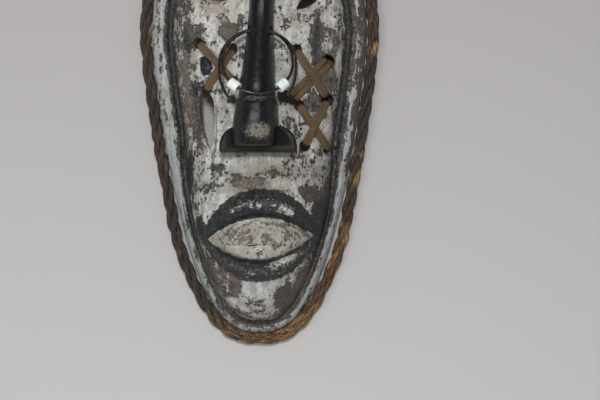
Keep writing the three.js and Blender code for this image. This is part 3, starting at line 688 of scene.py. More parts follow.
def eye_outline(eye):
    """A lens with pointed ends."""
    turn = full_turn(40)
    along = eye["half_length"] * np.cos(turn)
    over = eye["half_height"] * np.sign(np.sin(turn)) * np.abs(np.sin(turn)) ** 1.6
    slant = eye["slant"]
    return np.stack([eye["x"] + along * math.cos(slant) - over * math.sin(slant),
                     eye["height"] + along * math.sin(slant) + over * math.cos(slant)], 1)


# the window is a blind pocket whose floor is painted black as painted shade
WINDOW = [(-46.5, 219.5), (-38, 223), (-36.5, 230), (-43, 237.5), (-47.5, 235)]
WINDOW_FLOOR = 38
SLOT_FRONT = [
    (-40, 158.5), (-35.5, 165), (-34.5, 190), (-36.5, 206), (-45, 211), (-53, 217), (-54, 198), (-50, 177),
]
SLOT_BACK = [
    (-39, 161), (-36, 166), (-35, 190), (-37, 204), (-41, 206), (-44.5, 206), (-45.5, 195), (-44, 177),
]
EYE_HEIGHT = 345
EYE_HALF = 6


NOSE_FOOT = 163
NOSE_FOOT_X = -2.6
NOSE_LEAN = 0.05
NOSE_PEGS = {"nose_peg_upper": 232, "nose_peg_lower": 182}
PEG_HOLE_RADIUS = 4.3
EYE_LEG_RADIUS = 1.8
EYE_LEG_FRONT = 48.5


def nose_middle(height):
    return NOSE_FOOT_X + NOSE_LEAN * (height - NOSE_FOOT)


def shell_cutters():
    parts = [prism(eye_outline(eye), eye_outline(eye)) for eye in EYES]
    parts.append(prism(rounded(WINDOW), rounded(WINDOW), back=WINDOW_FLOOR))
    parts.append(prism(rounded(SLOT_BACK), rounded(SLOT_FRONT), ragged=0.6))
    for i, (x, height, radius) in enumerate(HOLES):
        ring = ring_outline(x, height, radius)
        parts.append(prism(ring, ring, ragged=0.5, seed=20 + i))
    for height in NOSE_PEGS.values():
        ring = ring_outline(nose_middle(height), height, PEG_HOLE_RADIUS)
        parts.append(prism(ring, ring, ragged=0.1))
    for x in (-EYE_HALF, EYE_HALF):
        ring = ring_outline(x, EYE_HEIGHT, EYE_LEG_RADIUS)
        parts.append(prism(ring, ring, front=EYE_LEG_FRONT, ragged=0.0))
    return parts


shell_rows = shell_points()
blank = make_mesh("shell_blank", *skin(shell_rows, ends="folded"))
probe = BVHTree.FromPolygons(coordinates(blank).tolist(), [list(p.vertices) for p in blank.polygons])


def fronts(x, height):
    """Front of the uncut shell at points of the face."""
    x, height = np.broadcast_arrays(np.asarray(x, float), height)
    found = []
    for start in place(x.ravel(), 200, height.ravel()):
        hit = probe.ray_cast(Vector(start), Vector((0, 1, 0)))[0]
        found.append(-hit.y / MM if hit else 0.0)
    return np.array(found).reshape(x.shape)


shell = blank
for points, faces in shell_cutters():
    shell = combined(shell, make_mesh("cutter", points, faces), "DIFFERENCE")


# ---- where the paint, stains, bare wood and painted shade are -----------------------------------

# x, height, half width, half height, slant in degrees, strength. Places where the white paint has
# worn off the wood are below 0; places where it is whole are above.
PAINT = [
    (-52, 256, 9, 10, 0, -0.34), (-57.5, 250, 3.5, 15, 0, -0.4), (-24, 257.5, 7.5, 8, 10, -0.5),
    (-14, 266, 3, 5, 0, -0.35), (-61, 205, 7, 46, 0, -0.10), (-31.5, 147, 6, 3.5, 0, -0.5),
    (-41, 130, 12, 10, 0, -0.1), (47, 250, 4.6, 23, -4, -0.6), (60, 240, 8, 24, 0, -0.2),
    (56, 268, 6, 5, 0, 0.3), (66, 231, 3.5, 15, 0, 0.5), (58, 219, 8, 6, 0, -0.5),
    (43.5, 199, 9, 9, 0, -0.32), (65, 170, 6, 24, 0, -0.3), (27, 178, 10, 18, 0, -0.08),
    (-6, 134, 17, 3.6, 3, -0.5), (13, 133, 7.5, 4, -6, 0.5), (46, 128, 12, 14, 0, -0.16),
    (-37, 118, 15, 3.4, 47, 0.55), (-30, 62, 14, 18, 30, -0.27), (-18.5, 52, 4.5, 10, 0, -0.6),
    (2, 49, 15, 6, 0, 0.20), (-6, 140, 34, 4, 0, -0.16), (40, 126, 8, 5, -30, -0.35),
    (18.5, 42, 6, 11, -12, -0.46), (-19.5, 38.5, 5, 2.6, 0, 0.5), (-2, 26, 20, 10, 0, -0.05),
    (33, 47, 9, 24, -20, -0.42), (-45, 300, 30, 16, 0, -0.06), (30, 330, 22, 16, 0, -0.22),
    (-18, 346, 20, 14, 0, -0.16), (36, 152, 12, 8, 0, -0.12), (-28, 236, 5, 12, 12, 0.3),
    (-60, 300, 6, 30, 0, -0.3), (57, 178, 3.5, 9, 0, 0.4), (-56, 228, 6, 6, 0, -0.2),
    (-62, 150, 6, 22, 0, -0.2), (24, 262, 7, 9, 0, -0.1), (-34, 178, 5, 20, 0, 0.2),
    (-25, 170, 8, 14, 0, 0.15), (-8, 150, 26, 4, 0, 0.14), (-50.3, 190, 4.5, 29, 11, -0.5),
    (2, 16, 20, 5, 0, -0.25), (52, 104, 10, 22, -10, -0.5),
]
# black paint; the first row is a painted shadow, the left bead's shadow on the cheek beside the nose
BLACK_AND_SHADE = [
    (-21.5, 201, 4.5, 3.5, 30, 1.0), (30.6, 241, 6, 5, 20, 0.9), (67, 205, 4.5, 8, 0, 0.8),
    (50, 104, 9, 21, -10, 1.15), (-46.5, 96, 5, 14, 12, 1.1), (20.5, 205, 6.5, 6, 0, 0.9),
    (42, 74, 10, 9, 40, 0.55), (-40, 74, 6, 6, -40, 0.45), (62, 130, 5, 20, 4, 0.7),
    (-58, 138, 6, 26, -5, 0.85), (-50.3, 190, 4.6, 30, 11, 0.55), (-47.5, 211, 6, 8, 20, 0.8),
    (-56, 245, 5, 9, 0, 0.5), (-47.5, 247, 7, 6, 0, 0.55), (47, 251, 3.4, 22, -4, 0.72),
    (-59, 254, 3, 12, 0, 0.6), (60, 219, 6, 4, 0, 0.5), (44, 196, 6, 5, 30, 0.45),
    (0, 128, 30, 1.6, 0, 0.2), (2, 62, 26, 4, 0, 0.35), (-10, 134, 24, 2.4, 0, 0.35),
    (24, 43, 5, 10, -12, 0.35), (-21, 47, 3, 7, 0, 0.4), (-31.5, 147, 6, 3.5, 0, 0.5),
]
MAUVE = [
    (-24, 257.5, 8, 8, 10, 0.8), (64, 180, 8, 36, 0, 0.8), (-6, 133.5, 15, 5, 3, 1.0),
    (-30, 60, 16, 20, 30, 0.9), (34, 45, 12, 26, -20, 0.9), (-18, 50, 6, 12, 0, 1.0),
    (-58, 118, 7, 22, 0, 0.6), (-48, 265, 6, 8, 0, 0.5),
]
WARM = [
    (-61, 205, 9, 48, 0, 0.55), (60, 240, 9, 25, 0, 0.4), (58, 180, 10, 26, 0, 0.35),
    (-33, 273, 17, 7, -12, 0.85), (38, 268, 14, 5, 25, 0.4), (24, 128.5, 9, 3, -16, 0.7),
    (-2, 26, 22, 11, 0, 0.45), (-26, 210, 6, 12, 0, 0.3), (26, 222, 9, 10, 0, 0.35),
    (44, 170, 10, 12, 0, 0.3), (-15, 130, 20, 6, 10, 0.5), (-50.3, 190, 5, 27, 11, 0.2),
    (28, 262, 10, 12, 0, 0.3), (-28, 245, 8, 14, 0, 0.2),
]
DIRT = [
    (30, 143, 30, 9, 0, 0.8), (-2, 145, 30, 8, 0, 0.75), (24, 178, 14, 22, 0, 0.5),
    (52, 140, 12, 12, 0, 0.5), (-45, 138, 14, 12, 0, 0.5), (8, 20, 16, 6, 0, 0.4),
    (0, 131, 36, 7, 0, 0.6), (24, 216, 12, 16, 0, 0.45), (-58, 230, 10, 20, 0, 0.4),
    (52, 230, 12, 12, 0, 0.4), (-2, 158, 60, 4, 0, 0.35), (-8, 128, 26, 4, 0, 0.7),
]
BLUE = [
    (2, 49, 16, 9, 0, 0.35), (-28, 184, 7, 16, 0, 0.15), (-44, 138, 16, 14, 0, 0.3),
    (-18, 230, 14, 20, 0, 0.15),
]


def zones(places, x, height):
    total = np.zeros_like(x)
    for middle_x, middle_height, half_width, half_height, slant, strength in places:
        turn = math.radians(slant)
        dx, dh = x - middle_x, height - middle_height
        along = (dx * math.cos(turn) + dh * math.sin(turn)) / half_width
        over = (-dx * math.sin(turn) + dh * math.cos(turn)) / half_height
        total += strength * np.exp(-((along ** 2 + over ** 2) ** 1.5))
    return total


def distance_to_edge(x, height):
    """How far in from the edge of the shell each point lies."""
    edge_x, edge_height, _, _ = edge_points(1400)
    ring = np.stack([edge_x, edge_height], 1)
    points = np.stack([x, height], 1)
    found = []
    for part in np.array_split(points, 60):
        found.append(np.sqrt(((part[:, None] - ring[None]) ** 2).sum(2).min(1)))
    return np.concatenate(found)


def paint_shell(mesh):
    """Stores how much of each paint, tint and dirt, and of painted shadow and shade, lies at each point,
    for painted_wood() to read.
    """
    x, front, height = measures(coordinates(mesh))
    surface = fronts(x, height)
    below = surface - front
    inside = smooth(below, 0.4, 1.6)
    share = distance_to_edge(x, height) / rim_width(height)
    drift = share + 0.035 * lumps(x, 0, height, 6, 30) + 0.02 * lumps(x, 0, height, 2.2, 31)

    # the bands of the rim, from the edge inwards
    low = falling(height, 110, 190)
    face = smooth(drift, 0.68, 0.76)
    rim = 1 - face
    right = smooth(x, 10, 30) * smooth(height, 120, 160)
    streak = lumps(drift * 26, 0, height / 16, 1.1, 32) + 0.6 * lumps(drift * 26, 0, height / 9, 2.3, 33)
    outer_band = falling(drift, 0.36 - 0.06 * right, 0.41 - 0.06 * right)
    brown_edge = right * falling(drift, 0.08, 0.16)
    groove = smooth(drift, 0.46, 0.51) * falling(drift, 0.64 + 0.05 * low, 0.72 + 0.08 * low)
    light_line = right * bell(drift, 0.62, 0.025)

    # the lips and what lies between them
    across, rise, lip, within = mouth_shares(x, height)
    upper, lower = rise > 0, rise <= 0
    ragged = lip + 0.07 * lumps(x, 0, height, 4.5, 36) + 0.04 * lumps(x, 0, height, 1.4, 37)
    on_lips = (lip > 0) & (ragged < 1.02)
    mouth = (lip <= 0) & (across < MOUTH_HALF_WIDTH)

    # how whole the white paint is
    face_edge = smooth(drift, 0.68, 0.74) * falling(drift, 0.95, 1.25)
    paint = 0.66 + zones(PAINT, x, height) - 0.10 * face_edge
    bands = 0.20 + (0.52 - 0.12 * right) * outer_band + 0.30 * light_line + 0.26 * streak
    bands = bands - 0.45 * brown_edge + 0.12 * low * groove - 0.30 * falling(height, 18, 42)
    paint = np.where(rim > 0.5, bands, paint)
    arcs = 0.5 + 0.5 * np.sin(np.hypot(x - 6, height - 64) * 1.5 + 2.5 * lumps(x, 0, height, 7, 35))
    arcs = arcs * smooth(lumps(x, 0, height, 9, 38), -0.5, 0.3)
    paint = np.where(mouth, 0.64 + 0.2 * bell(within, 0.95, 0.12) * upper - 0.2 * arcs * upper, paint)
    # a pale band along the crest of the upper lip, brighter to the right: scratched paint and a painted
    # highlight on the lip's front
    lip_wear_and_highlight = bell(lip, 0.45, 0.24) * smooth(29 - np.abs(x - 2), 0, 6) * upper
    lip_wear_and_highlight = lip_wear_and_highlight * (0.66 + 0.34 * smooth(x, 4, 16) + 0.22 * lumps(x, 0, height, 2.5, 34))
    scuffed = zones([(21, 74, 13, 4.5, 24, 1.0)], x, height)
    paint = np.where(on_lips, 0.44 + 0.20 * lip_wear_and_highlight + 0.22 * scuffed * lower, paint)

    # black paint, with the painted shadow of the left bead; the window floor below is painted black as
    # painted shade
    black_and_shade = zones(BLACK_AND_SHADE, x, height) * (1 - mouth) * face
    worn_lip = 0.74 - 0.46 * scuffed - 0.20 * bell(lip, 0.5, 0.25)
    lip_black = np.where(upper, 0.84 - 0.50 * lip_wear_and_highlight, worn_lip) - 0.22 * bell(ragged, 1.0, 0.12)
    black_and_shade = np.where(on_lips, lip_black, black_and_shade)
    black_and_shade = np.maximum(black_and_shade, 1.1 * bell(lip, 0.0, 0.10) * (across < 44) * (lip > -0.3))
    chin = falling(height, 40, 90)
    black_and_shade = np.maximum(black_and_shade, (0.80 - 0.16 * low - 0.5 * light_line - 0.5 * chin + 0.25 * streak) * groove)
    black_and_shade = np.maximum(black_and_shade, (0.50 - 0.2 * chin) * rim * (1 - outer_band) + 0.30 * brown_edge)
    black_and_shade = np.where(mouth & (within < 0.93), 0.7 * bell(rise + 0.8 - 0.5 * np.sin(x / 3.1), 0, 0.7)
                     * smooth(25 - np.abs(x + 7), 0, 8), black_and_shade)

    # tints
    rim_blue = 0.50 + 0.30 * low + 0.4 * streak - 0.5 * falling(height, 15, 40)
    blue = zones(BLUE, x, height) * face + rim * rim_blue
    blue = blue + 0.55 * (on_lips & lower) * (1 - scuffed)
    beige = mouth & upper & (within < 0.86)
    warm = zones(WARM, x, height) * face + (0.55 + 0.4 * arcs) * beige + 0.50 * (mouth & lower)
    warm = warm + 0.5 * scuffed * (on_lips & lower) + 0.3 * rim * (1 - outer_band)
    mauve = zones(MAUVE, x, height) * face + 0.35 * (mouth & lower) + 0.35 * rim
    dirt = zones(DIRT, x, height) * face + (0.40 + 0.45 * arcs) * beige + 0.40 * rim * (0.7 - streak)
    dirt = dirt + 0.14 * (mouth & lower)

    # grime in the holes and the crack, bare wood inside, and the window's floor painted black as painted
    # shade of the hollow behind it
    window_x, window_height = np.mean(WINDOW, axis=0)
    window_shade = (np.abs(x - window_x) < 8.5) & (np.abs(height - window_height) < 13) & (below > 1)
    grime = np.zeros_like(x)
    for hole_x, hole_height, radius in HOLES:
        reach = np.hypot(x - hole_x, height - hole_height)
        grime = np.maximum(grime, 0.8 * falling(reach, radius, radius + 1.2))
    grime = np.maximum(grime, 0.9 * bell(distance_to_line(x, height, CRACK), 0, 0.8))
    cut_walls = smooth(below, 0.4, 1.2) * falling(below, 7, 10) * (share > 0.85)
    grime = np.maximum(grime * (1 - inside) * 0.9, 0.93 * cut_walls * ~window_shade)
    outline = (front < 7.5) & (share < 0.2)
    raw = np.where(outline, 0.8, inside) * ~window_shade
    # the window's floor painted black: painted shade
    black_and_shade = np.where(window_shade, 1.2, black_and_shade * (1 - inside))

    for name, values in {"paint": paint, "black_and_shade": black_and_shade, "blue": blue, "warm": warm,
                         "mauve": mauve, "dirt": dirt, "grime": grime, "raw": raw}.items():
        store(mesh, name, np.clip(values, 0, 1.2))


paint_shell(shell)
add_piece("shell_carved", shell, painted_wood_finish, "painted_wood", "root", "mask_shell")


# ---- nose -------------------------------------------------------------------------------------

# height, half width and front of the nose
NOSE_STATIONS = [
    (331, 4.2, 62), (324, 7.8, 65.5), (308, 10, 68.5), (280, 10.3, 69.5), (262, 10.6, 71), (250, 11.4, 74),
    (230, 13, 79.5), (212, 14.5, 84), (202.2, 15.3, 86), (199.6, 16.7, 89.3), (192, 17.6, 92),
    (182, 18.4, 93.4), (172, 18.9, 92.9), (166.5, 18.9, 91), (164, 18.6, 88.6), (NOSE_FOOT, 17.9, 85),
]
HOOP_X = 0.5
HOOP_HEIGHT = 228.4
HOOP_FRONT = 76
HOOP_CENTRE = place(HOOP_X, HOOP_FRONT, HOOP_HEIGHT)
HOOP_TILT = math.radians(26)
NOSE_HOLE_REACH = 29.3
NOSE_HOLE_RADIUS = 3.9


def curve_through(knots, values, at):
    """A smooth curve through the knots that doesn't swing past them."""
    knots, values = np.asarray(knots, float), np.asarray(values, float)
    slope = np.diff(values) / np.diff(knots)
    tangent = np.concatenate([[slope[0]], (slope[1:] + slope[:-1]) / 2, [slope[-1]]])
    tangent[1:-1][slope[1:] * slope[:-1] <= 0] = 0
    limit = 2.5 * np.minimum(np.abs(np.append(slope, slope[-1])), np.abs(np.insert(slope, 0, slope[0])))
    tangent = np.clip(tangent, -limit, limit)
    i = np.clip(np.searchsorted(knots, at) - 1, 0, len(knots) - 2)
    span = knots[i + 1] - knots[i]
    t = (at - knots[i]) / span
    return ((1 + 2 * t) * (1 - t) ** 2 * values[i] + t * (1 - t) ** 2 * span * tangent[i]
            + t * t * (3 - 2 * t) * values[i + 1] + t * t * (t - 1) * span * tangent[i + 1])


def nose_bar():
    stations = np.array(NOSE_STATIONS[::-1], float)
    heights = np.concatenate([np.linspace(NOSE_FOOT, 167, 9), np.linspace(167.8, 197, 34),
                              np.linspace(197.5, 204, 16), np.linspace(205, 331, 120)])
    half = curve_through(stations[:, 0], stations[:, 1], heights)
    front = curve_through(stations[:, 0], stations[:, 2], heights)
    turn = np.linspace(0, np.pi, 61)
    across = np.sign(np.cos(turn)) * np.abs(np.cos(turn)) ** 0.82
    out = np.clip(np.sin(turn), 0, None) ** 0.72
    rows = []
    for height, half_width, tip in zip(heights, half, front):
        back = middle_front(height) - 6
        x = nose_middle(height) + half_width * across
        at = back + (tip - back) * out
        rough = 0.35 * lumps(x, at, height * 0.5, 8, 40) + 0.12 * lumps(x, at, height, 2.5, 41)
        rough = rough - 0.5 * bell(height, 198 + 1.5 * np.sin(x / 4), 0.8) * (out > 0.6)
        rows.append(place(x, at + rough * out, height))
    return skin(np.array(rows))


def wings():
    """The plate of the nostrils: flat below, round-shouldered, its front edge eased."""
    right = [(0.0, 158.2), (29.6, 158.2), (30.7, 158.8), (31.0, 161), (30.8, 165), (29.6, 169.5),
             (27.2, 173.6), (23.6, 176.9), (19, 178.8), (12, 179.6), (0, 180)]
    right = rounded(right + [(-x, h) for x, h in right[-2:0:-1]], passes=2)
    middle = right.mean(0)
    rows = []
    for front, shrink in ((44, 0), (50, 0), (58, 0), (63.5, 0), (65.4, 0.35), (66.5, 1.1), (67, 2.2)):
        reach = np.linalg.norm(right - middle, axis=1, keepdims=True)
        points = middle + (right - middle) * (1 - shrink / reach)
        x, height = points[:, 0] + 0.6, points[:, 1]
        at = front + 0.25 * lumps(x, front, height, 6, 42)
        rows.append(place(x, at, height))
    return skin(np.array(rows))


def nose_hole():
    centre_height = HOOP_HEIGHT + NOSE_HOLE_REACH * math.cos(HOOP_TILT)
    centre_front = HOOP_FRONT - NOSE_HOLE_REACH * math.sin(HOOP_TILT)
    turn = full_turn(28)
    rows = []
    for x, flare in ((-22, 1.6), (-9.4, 1.12), (-7, 1), (12, 1), (14.4, 1.12), (27, 1.6)):
        radius = NOSE_HOLE_RADIUS * flare
        rows.append(place(x, centre_front + radius * np.cos(turn), centre_height + radius * np.sin(turn)))
    return skin(np.array(rows))


def build_nose():
    bar = make_mesh("nose_bar", *nose_bar())
    bored = combined(bar, make_mesh("nose_hole", *nose_hole()), "DIFFERENCE")
    mesh = combined(bored, make_mesh("nose_wings", *wings()), "UNION")
    x, front, height = measures(coordinates(mesh))
    tip = smooth(front, 80, 88)
    # pale wear on the tip; the band at the step under the wire is wire wear with a painted highlight on its
    # edge
    wear_and_sheen = 0.94 * bell(height, 174, 8) * bell(x, 3.5, 15) * tip + 0.62 * bell(height, 200, 3.5) * tip
    wear_and_sheen = wear_and_sheen + 0.55 * zones([(24, 171, 6, 2.4, -14, 1.0), (-22, 170, 4, 2, 30, 0.5)], x, height)
    # a thin pale line along the middle of the ridge above the wire: painted highlight
    wear_and_sheen = wear_and_sheen + 0.25 * bell(x - nose_middle(height), 0, 2.2) * smooth(height, 204, 214)
    store(mesh, "wear_and_sheen", np.clip(wear_and_sheen, 0, 1))
    store(mesh, "brown", falling(height, 163.5, 168) * 0.9)
    return mesh


add_piece("nose_carved", build_nose(), black_wood_finish, "black_wood", "root", "nose")


# ---- rope round the rim -------------------------------------------------------------------------

ROPE_RADIUS = 5.0
ROPE_FRONT = 6.6
STRANDS = 3
STRAND_RADIUS = 2.42
STRAND_REACH = 2.72
TWIST_LENGTH = 54.0
ROPE_STEPS = 1100


def rope_standoff(height):
    return 0.5 + 2.2 * bell(height, 88, 32) + 1.3 * bell(height, 391, 9)


def rope_route(count):
    """The rope's centre from the crown down the right side, round the chin and back up."""
    x, height, out_x, out_height = edge_points(count)
    order = (np.arange(count + 1) + count // 2) % count
    x, height, out_x, out_height = (values[order] for values in (x, height, out_x, out_height))
    out = ROPE_RADIUS + rope_standoff(height)
    centre = place(x + out * out_x, ROPE_FRONT, height + out * out_height)
    outwards = np.stack([out_x, np.zeros_like(out_x), out_height], 1)
    centre[0, 0], centre[-1, 0] = 0.0003, -0.0003
    return centre, outwards


# side, height, half length and strength of the places where the rope is golden
ROPE_GOLD = [
    (-1, 265, 11, 0.5), (-1, 212, 10, 0.35), (-1, 172, 12, 0.3), (-1, 150, 12, 0.3), (-1, 82, 10, 0.3),
    (1, 268, 9, 0.35), (1, 246, 7, 0.6), (1, 158, 10, 0.6), (1, 139, 8, 0.7), (1, 96, 9, 0.7),
]


def rope_strand(index, centre, outwards):
    along = np.gradient(centre, axis=0)
    run = np.concatenate([[0], np.cumsum(np.linalg.norm(np.diff(centre, axis=0), axis=1))]) / MM
    along /= np.linalg.norm(along, axis=1, keepdims=True)
    up = np.cross(along, outwards)
    slack = 6.0 * lumps(run, 0, 0, 48, 50)
    turn = 2 * np.pi * ((run + slack) / TWIST_LENGTH + index / STRANDS)
    reach = (STRAND_REACH + 0.20 * lumps(run, index * 7, 0, 14, 51))[:, None] * MM
    path = centre + reach * (outwards * np.cos(turn)[:, None] + up * np.sin(turn)[:, None])
    sides = 22
    around = full_turn(sides)[None]
    lay = 2 * np.pi * run[:, None] / 31.0 + 1.2 * lumps(run, index * 3, 0, 17, 56)[:, None]
    yarn = np.abs(np.cos(2 * (around + lay) + index))
    radius = STRAND_RADIUS + 0.30 * lumps(run, index * 9, 0, 8, 52)[:, None]
    fray = lumps(run[:, None] / 4, 3 * np.cos(around), 3 * np.sin(around) + index * 9, 1.3, 53)
    radius = radius * (0.86 + 0.17 * yarn ** 0.6) + 0.17 * fray
    rows = tube(path, outwards, radius * MM, sides)
    points, faces = skin(rows)
    _, _, height = measures(centre)
    side = centre[:, 0] / MM
    golden = 0.95 if index == 0 else 0.0
    tone = 0.34 * golden * smooth(lumps(run, 3, 0, 42, 54), -0.1, 0.5)
    for sign, gold_height, reach, strength in ROPE_GOLD:
        tone = tone + strength * (0.55 + golden) * bell(height, gold_height, reach) * (side * sign > 0)
    tone = tone + 0.48 * falling(height, 12, 48)
    tone = tone + 0.16 * smooth(side, 10, 30) * falling(height, 60, 110)
    reddish = 0.75 * smooth(side, -20, 10) * falling(height, 60, 120) + 0.1 * smooth(height, 200, 260)
    reddish = reddish + 0.25 * lumps(run, index, 0, 25, 55)
    extra = {"fibre": (0.25 + 0.75 * yarn).ravel(),
             "tone": np.repeat(np.clip(tone, 0, 1), sides),
             "reddish": np.repeat(np.clip(reddish, 0, 1), sides)}
    lay_place = np.stack(np.broadcast_arrays(
        run[:, None] / 7 + 9 * index, 1.9 * np.cos(around), 1.9 * np.sin(around)), -1).reshape(-1, 3)
    return points, faces, extra, lay_place


def rope_fuzz(centre, outwards, rng):
    """Loose fibres that stand off the rope."""
    parts, count = [], 420
    for _ in range(count):
        i = int(rng.integers(6, len(centre) - 6))
        forward = centre[i + 1] - centre[i - 1]
        forward = forward / np.linalg.norm(forward)
        turn = rng.uniform(-1.9, 1.9)
        face = np.array([0.0, -1.0, 0.0])
        out = outwards[i] * math.cos(turn) + face * math.sin(turn) * (1 if rng.random() < 0.75 else -1)
        length = rng.uniform(2.0, 5.5) * MM
        t = np.linspace(0, 1, 6)[:, None]
        lean = rng.uniform(0.8, 2.2) * (1 if rng.random() < 0.5 else -1)
        path = centre[i] + out * 4.35 * MM + length * t * (forward * lean + out * (0.34 - 0.22 * t)) * 0.6
        width = (0.085 * (1 - 0.75 * t[:, 0]) * MM)[:, None]
        parts.append(skin(tube(path, np.cross(forward, out), width, 4)))
    return joined(parts)


def build_rope():
    centre, outwards = rope_route(ROPE_STEPS)
    parts, places, stored = [], [], {"fibre": [], "tone": [], "reddish": []}
    for index in range(STRANDS):
        points, faces, extra, lay_place = rope_strand(index, centre, outwards)
        parts.append((points, faces))
        places.append(lay_place)
        for name, values in extra.items():
            stored[name].append(values)
    fuzz = rope_fuzz(centre, outwards, np.random.default_rng(60))
    parts.append(fuzz)
    for name, value in (("fibre", 1.0), ("tone", 0.55), ("reddish", 0.3)):
        stored[name].append(np.full(len(fuzz[0]), value))
    places.append(fuzz[0] / MM)
    mesh = make_mesh("rim_rope_laid", *joined(parts))
    for name, values in stored.items():
        store(mesh, name, np.concatenate(values))
    store_places(mesh, "lay_place", np.concatenate(places))
    return mesh


add_piece("rim_rope_laid", build_rope(), rope_finish, "plant_rope", "root", "rim_rope")


def build_whipping():
    """Thread wound round the joint of the rope's ends at the crown."""
    low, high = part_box("rope_whipping")
    length = high.x - low.x - 1.6 * MM
    thread = 0.7 * MM
    turns = 17
    t = np.linspace(0, 1, turns * 30)
    x = (t - 0.5) * length
    middle_front = (low.y + high.y) / 2
    crown = high.z - 6.2 * MM
    turn = 2 * np.pi * turns * t
    reach = 5.45 * MM + 0.1 * MM * np.sin(turn * 0.37)
    bow = (x / MM) ** 2 / 150 * MM
    path = np.stack([x, middle_front + reach * np.cos(turn), crown - bow + reach * np.sin(turn)], 1)
    rows = tube(path, np.array([1.0, 0, 0]), thread, 8)
    mesh = make_mesh("whipping_thread", *skin(rows))
    count = len(mesh.vertices)
    store(mesh, "fibre", 0.6 + 0.4 * lumps(coordinates(mesh)[:, 0] / MM, 0, 0, 0.8, 61))
    store_places(mesh, "lay_place", coordinates(mesh) / MM)
    store(mesh, "tone", np.full(count, 0.34))
    store(mesh, "reddish", np.full(count, 0.5))
    return mesh


add_piece("whipping_thread", build_whipping(), rope_finish, "plant_rope", "root", "rope_whipping")


# ---- tacks, pegs and hanging eye ----------------------------------------------------------------

def turned(profile, sides):
    """Rows of a turned piece from (radius, along) pairs; its axis is Z."""
    turn = full_turn(sides)
    return np.array([[(r * math.cos(a), r * math.sin(a), z) for a in turn] for r, z in profile])


def build_tack(node):
    """A domed nail, its head outermost on the rope."""
    low, high = (np.array(corner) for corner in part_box(node))
    middle = (low + high) / 2
    x, _, height = measures(middle)
    edge_x, edge_height, out_x, out_height = edge_points(2000)
    nearest = int(np.argmin(np.hypot(edge_x - x, edge_height - height)))
    near = (edge_x[nearest], edge_height[nearest])
    out = np.array([out_x[nearest], 0, out_height[nearest]])
    reach = 2 * ROPE_RADIUS + rope_standoff(near[1])
    start = place(near[0] + reach * out[0], ROPE_FRONT, near[1] + reach * out[2])
    profile = [(0.05, -19), (0.9, -16), (0.9, -2.1), (2.3, -1.75), (2.4, -1.5), (2.25, -1.15),
               (1.8, -0.75), (1.1, -0.45), (0.4, -0.32), (0.02, -0.3)]
    rows = turned(profile, 20) * MM
    side = np.array([0.0, -1.0, 0.0])
    other = np.cross(out, side)
    rows = start + rows[..., :1] * side + rows[..., 1:2] * other + rows[..., 2:] * out
    return make_mesh(f"{node}_nail", *skin(rows))


ROPE_TACKS = 12
for number in range(1, ROPE_TACKS + 1):
    name = f"rope_tack_{number}"
    add_piece(f"{name}_nail", build_tack(name), iron_finish, "iron", "root", name)


def build_peg(node):
    """A whittled peg, its ends eased."""
    low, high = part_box(node)
    radius = (high.x - low.x) / 2
    middle_x, middle_z = (low.x + high.x) / 2, (low.z + high.z) / 2
    sides = 36
    turn = full_turn(sides)
    rows = []
    eased = ((0, 0.86), (0.02, 0.95), (0.06, 1), (0.35, 1), (0.65, 1), (0.94, 1), (0.98, 0.95), (1, 0.86))
    for share, ease in eased:
        y = np.full(sides, high.y + (low.y - high.y) * share)
        facet = 1 - 0.045 * np.abs(np.sin(4.5 * turn + share))
        reach = radius * ease * facet
        rows.append(np.stack([middle_x + reach * np.cos(turn), y, middle_z + reach * np.sin(turn)], 1))
    return make_mesh(f"{node}_whittled", *skin(np.array(rows)))


for name in NOSE_PEGS:
    add_piece(f"{name}_whittled", build_peg(name), raw_wood_finish, "raw_wood", "root", name)


def build_hanging_eye():
    """A staple of bent wire whose bow stands free in the hollow."""
    turn = np.radians(np.linspace(0, 180, 25))
    legs = np.linspace(48, 20, 12)[:-1]
    x = np.concatenate([np.full(11, -EYE_HALF), -EYE_HALF * np.cos(turn), np.full(11, EYE_HALF)])
    front = np.concatenate([legs, 20 - (EYE_HALF - 0.3) * np.sin(turn), legs[::-1]])
    path = place(x, front, EYE_HEIGHT)
    radius = 1.5 + 0.05 * lumps(np.arange(len(path)), 0, 0, 3, 70)[:, None]
    side = np.array([0.0, 0, 1])
    return make_mesh("hanging_eye_bent", *skin(tube(path, side, radius * MM, 16)))


add_piece("hanging_eye_bent", build_hanging_eye(), iron_finish, "iron", "root", "hanging_eye")


# ---- stitches over the cracks -------------------------------------------------------------------

# two ends, width, how far it is raised over another strip, and where along it that is
STITCHES = {
    "left_under": ((-48.2, 247.2), (-20.3, 216.3), 6.4, 0, 0.5),
    "left_over": ((-20.8, 241.7), (-42.2, 209), 6.4, 3.0, 0.42),
    "right_upper_over": ((30.9, 241), (54.9, 204.4), 6.6, 3.0, 0.5),
    "right_upper_under_a": ((54.8, 235.1), (26.2, 204.3), 4.6, 0, 0.5),
    "right_upper_under_b": ((58.4, 231.7), (29.8, 200.9), 4.6, 0, 0.5),
    "right_lower_under": ((33, 196.7), (57.4, 161.8), 6.4, 0, 0.5),
    "right_lower_over": ((55.9, 200.8), (37.7, 164.6), 6.4, 3.0, 0.64),
}


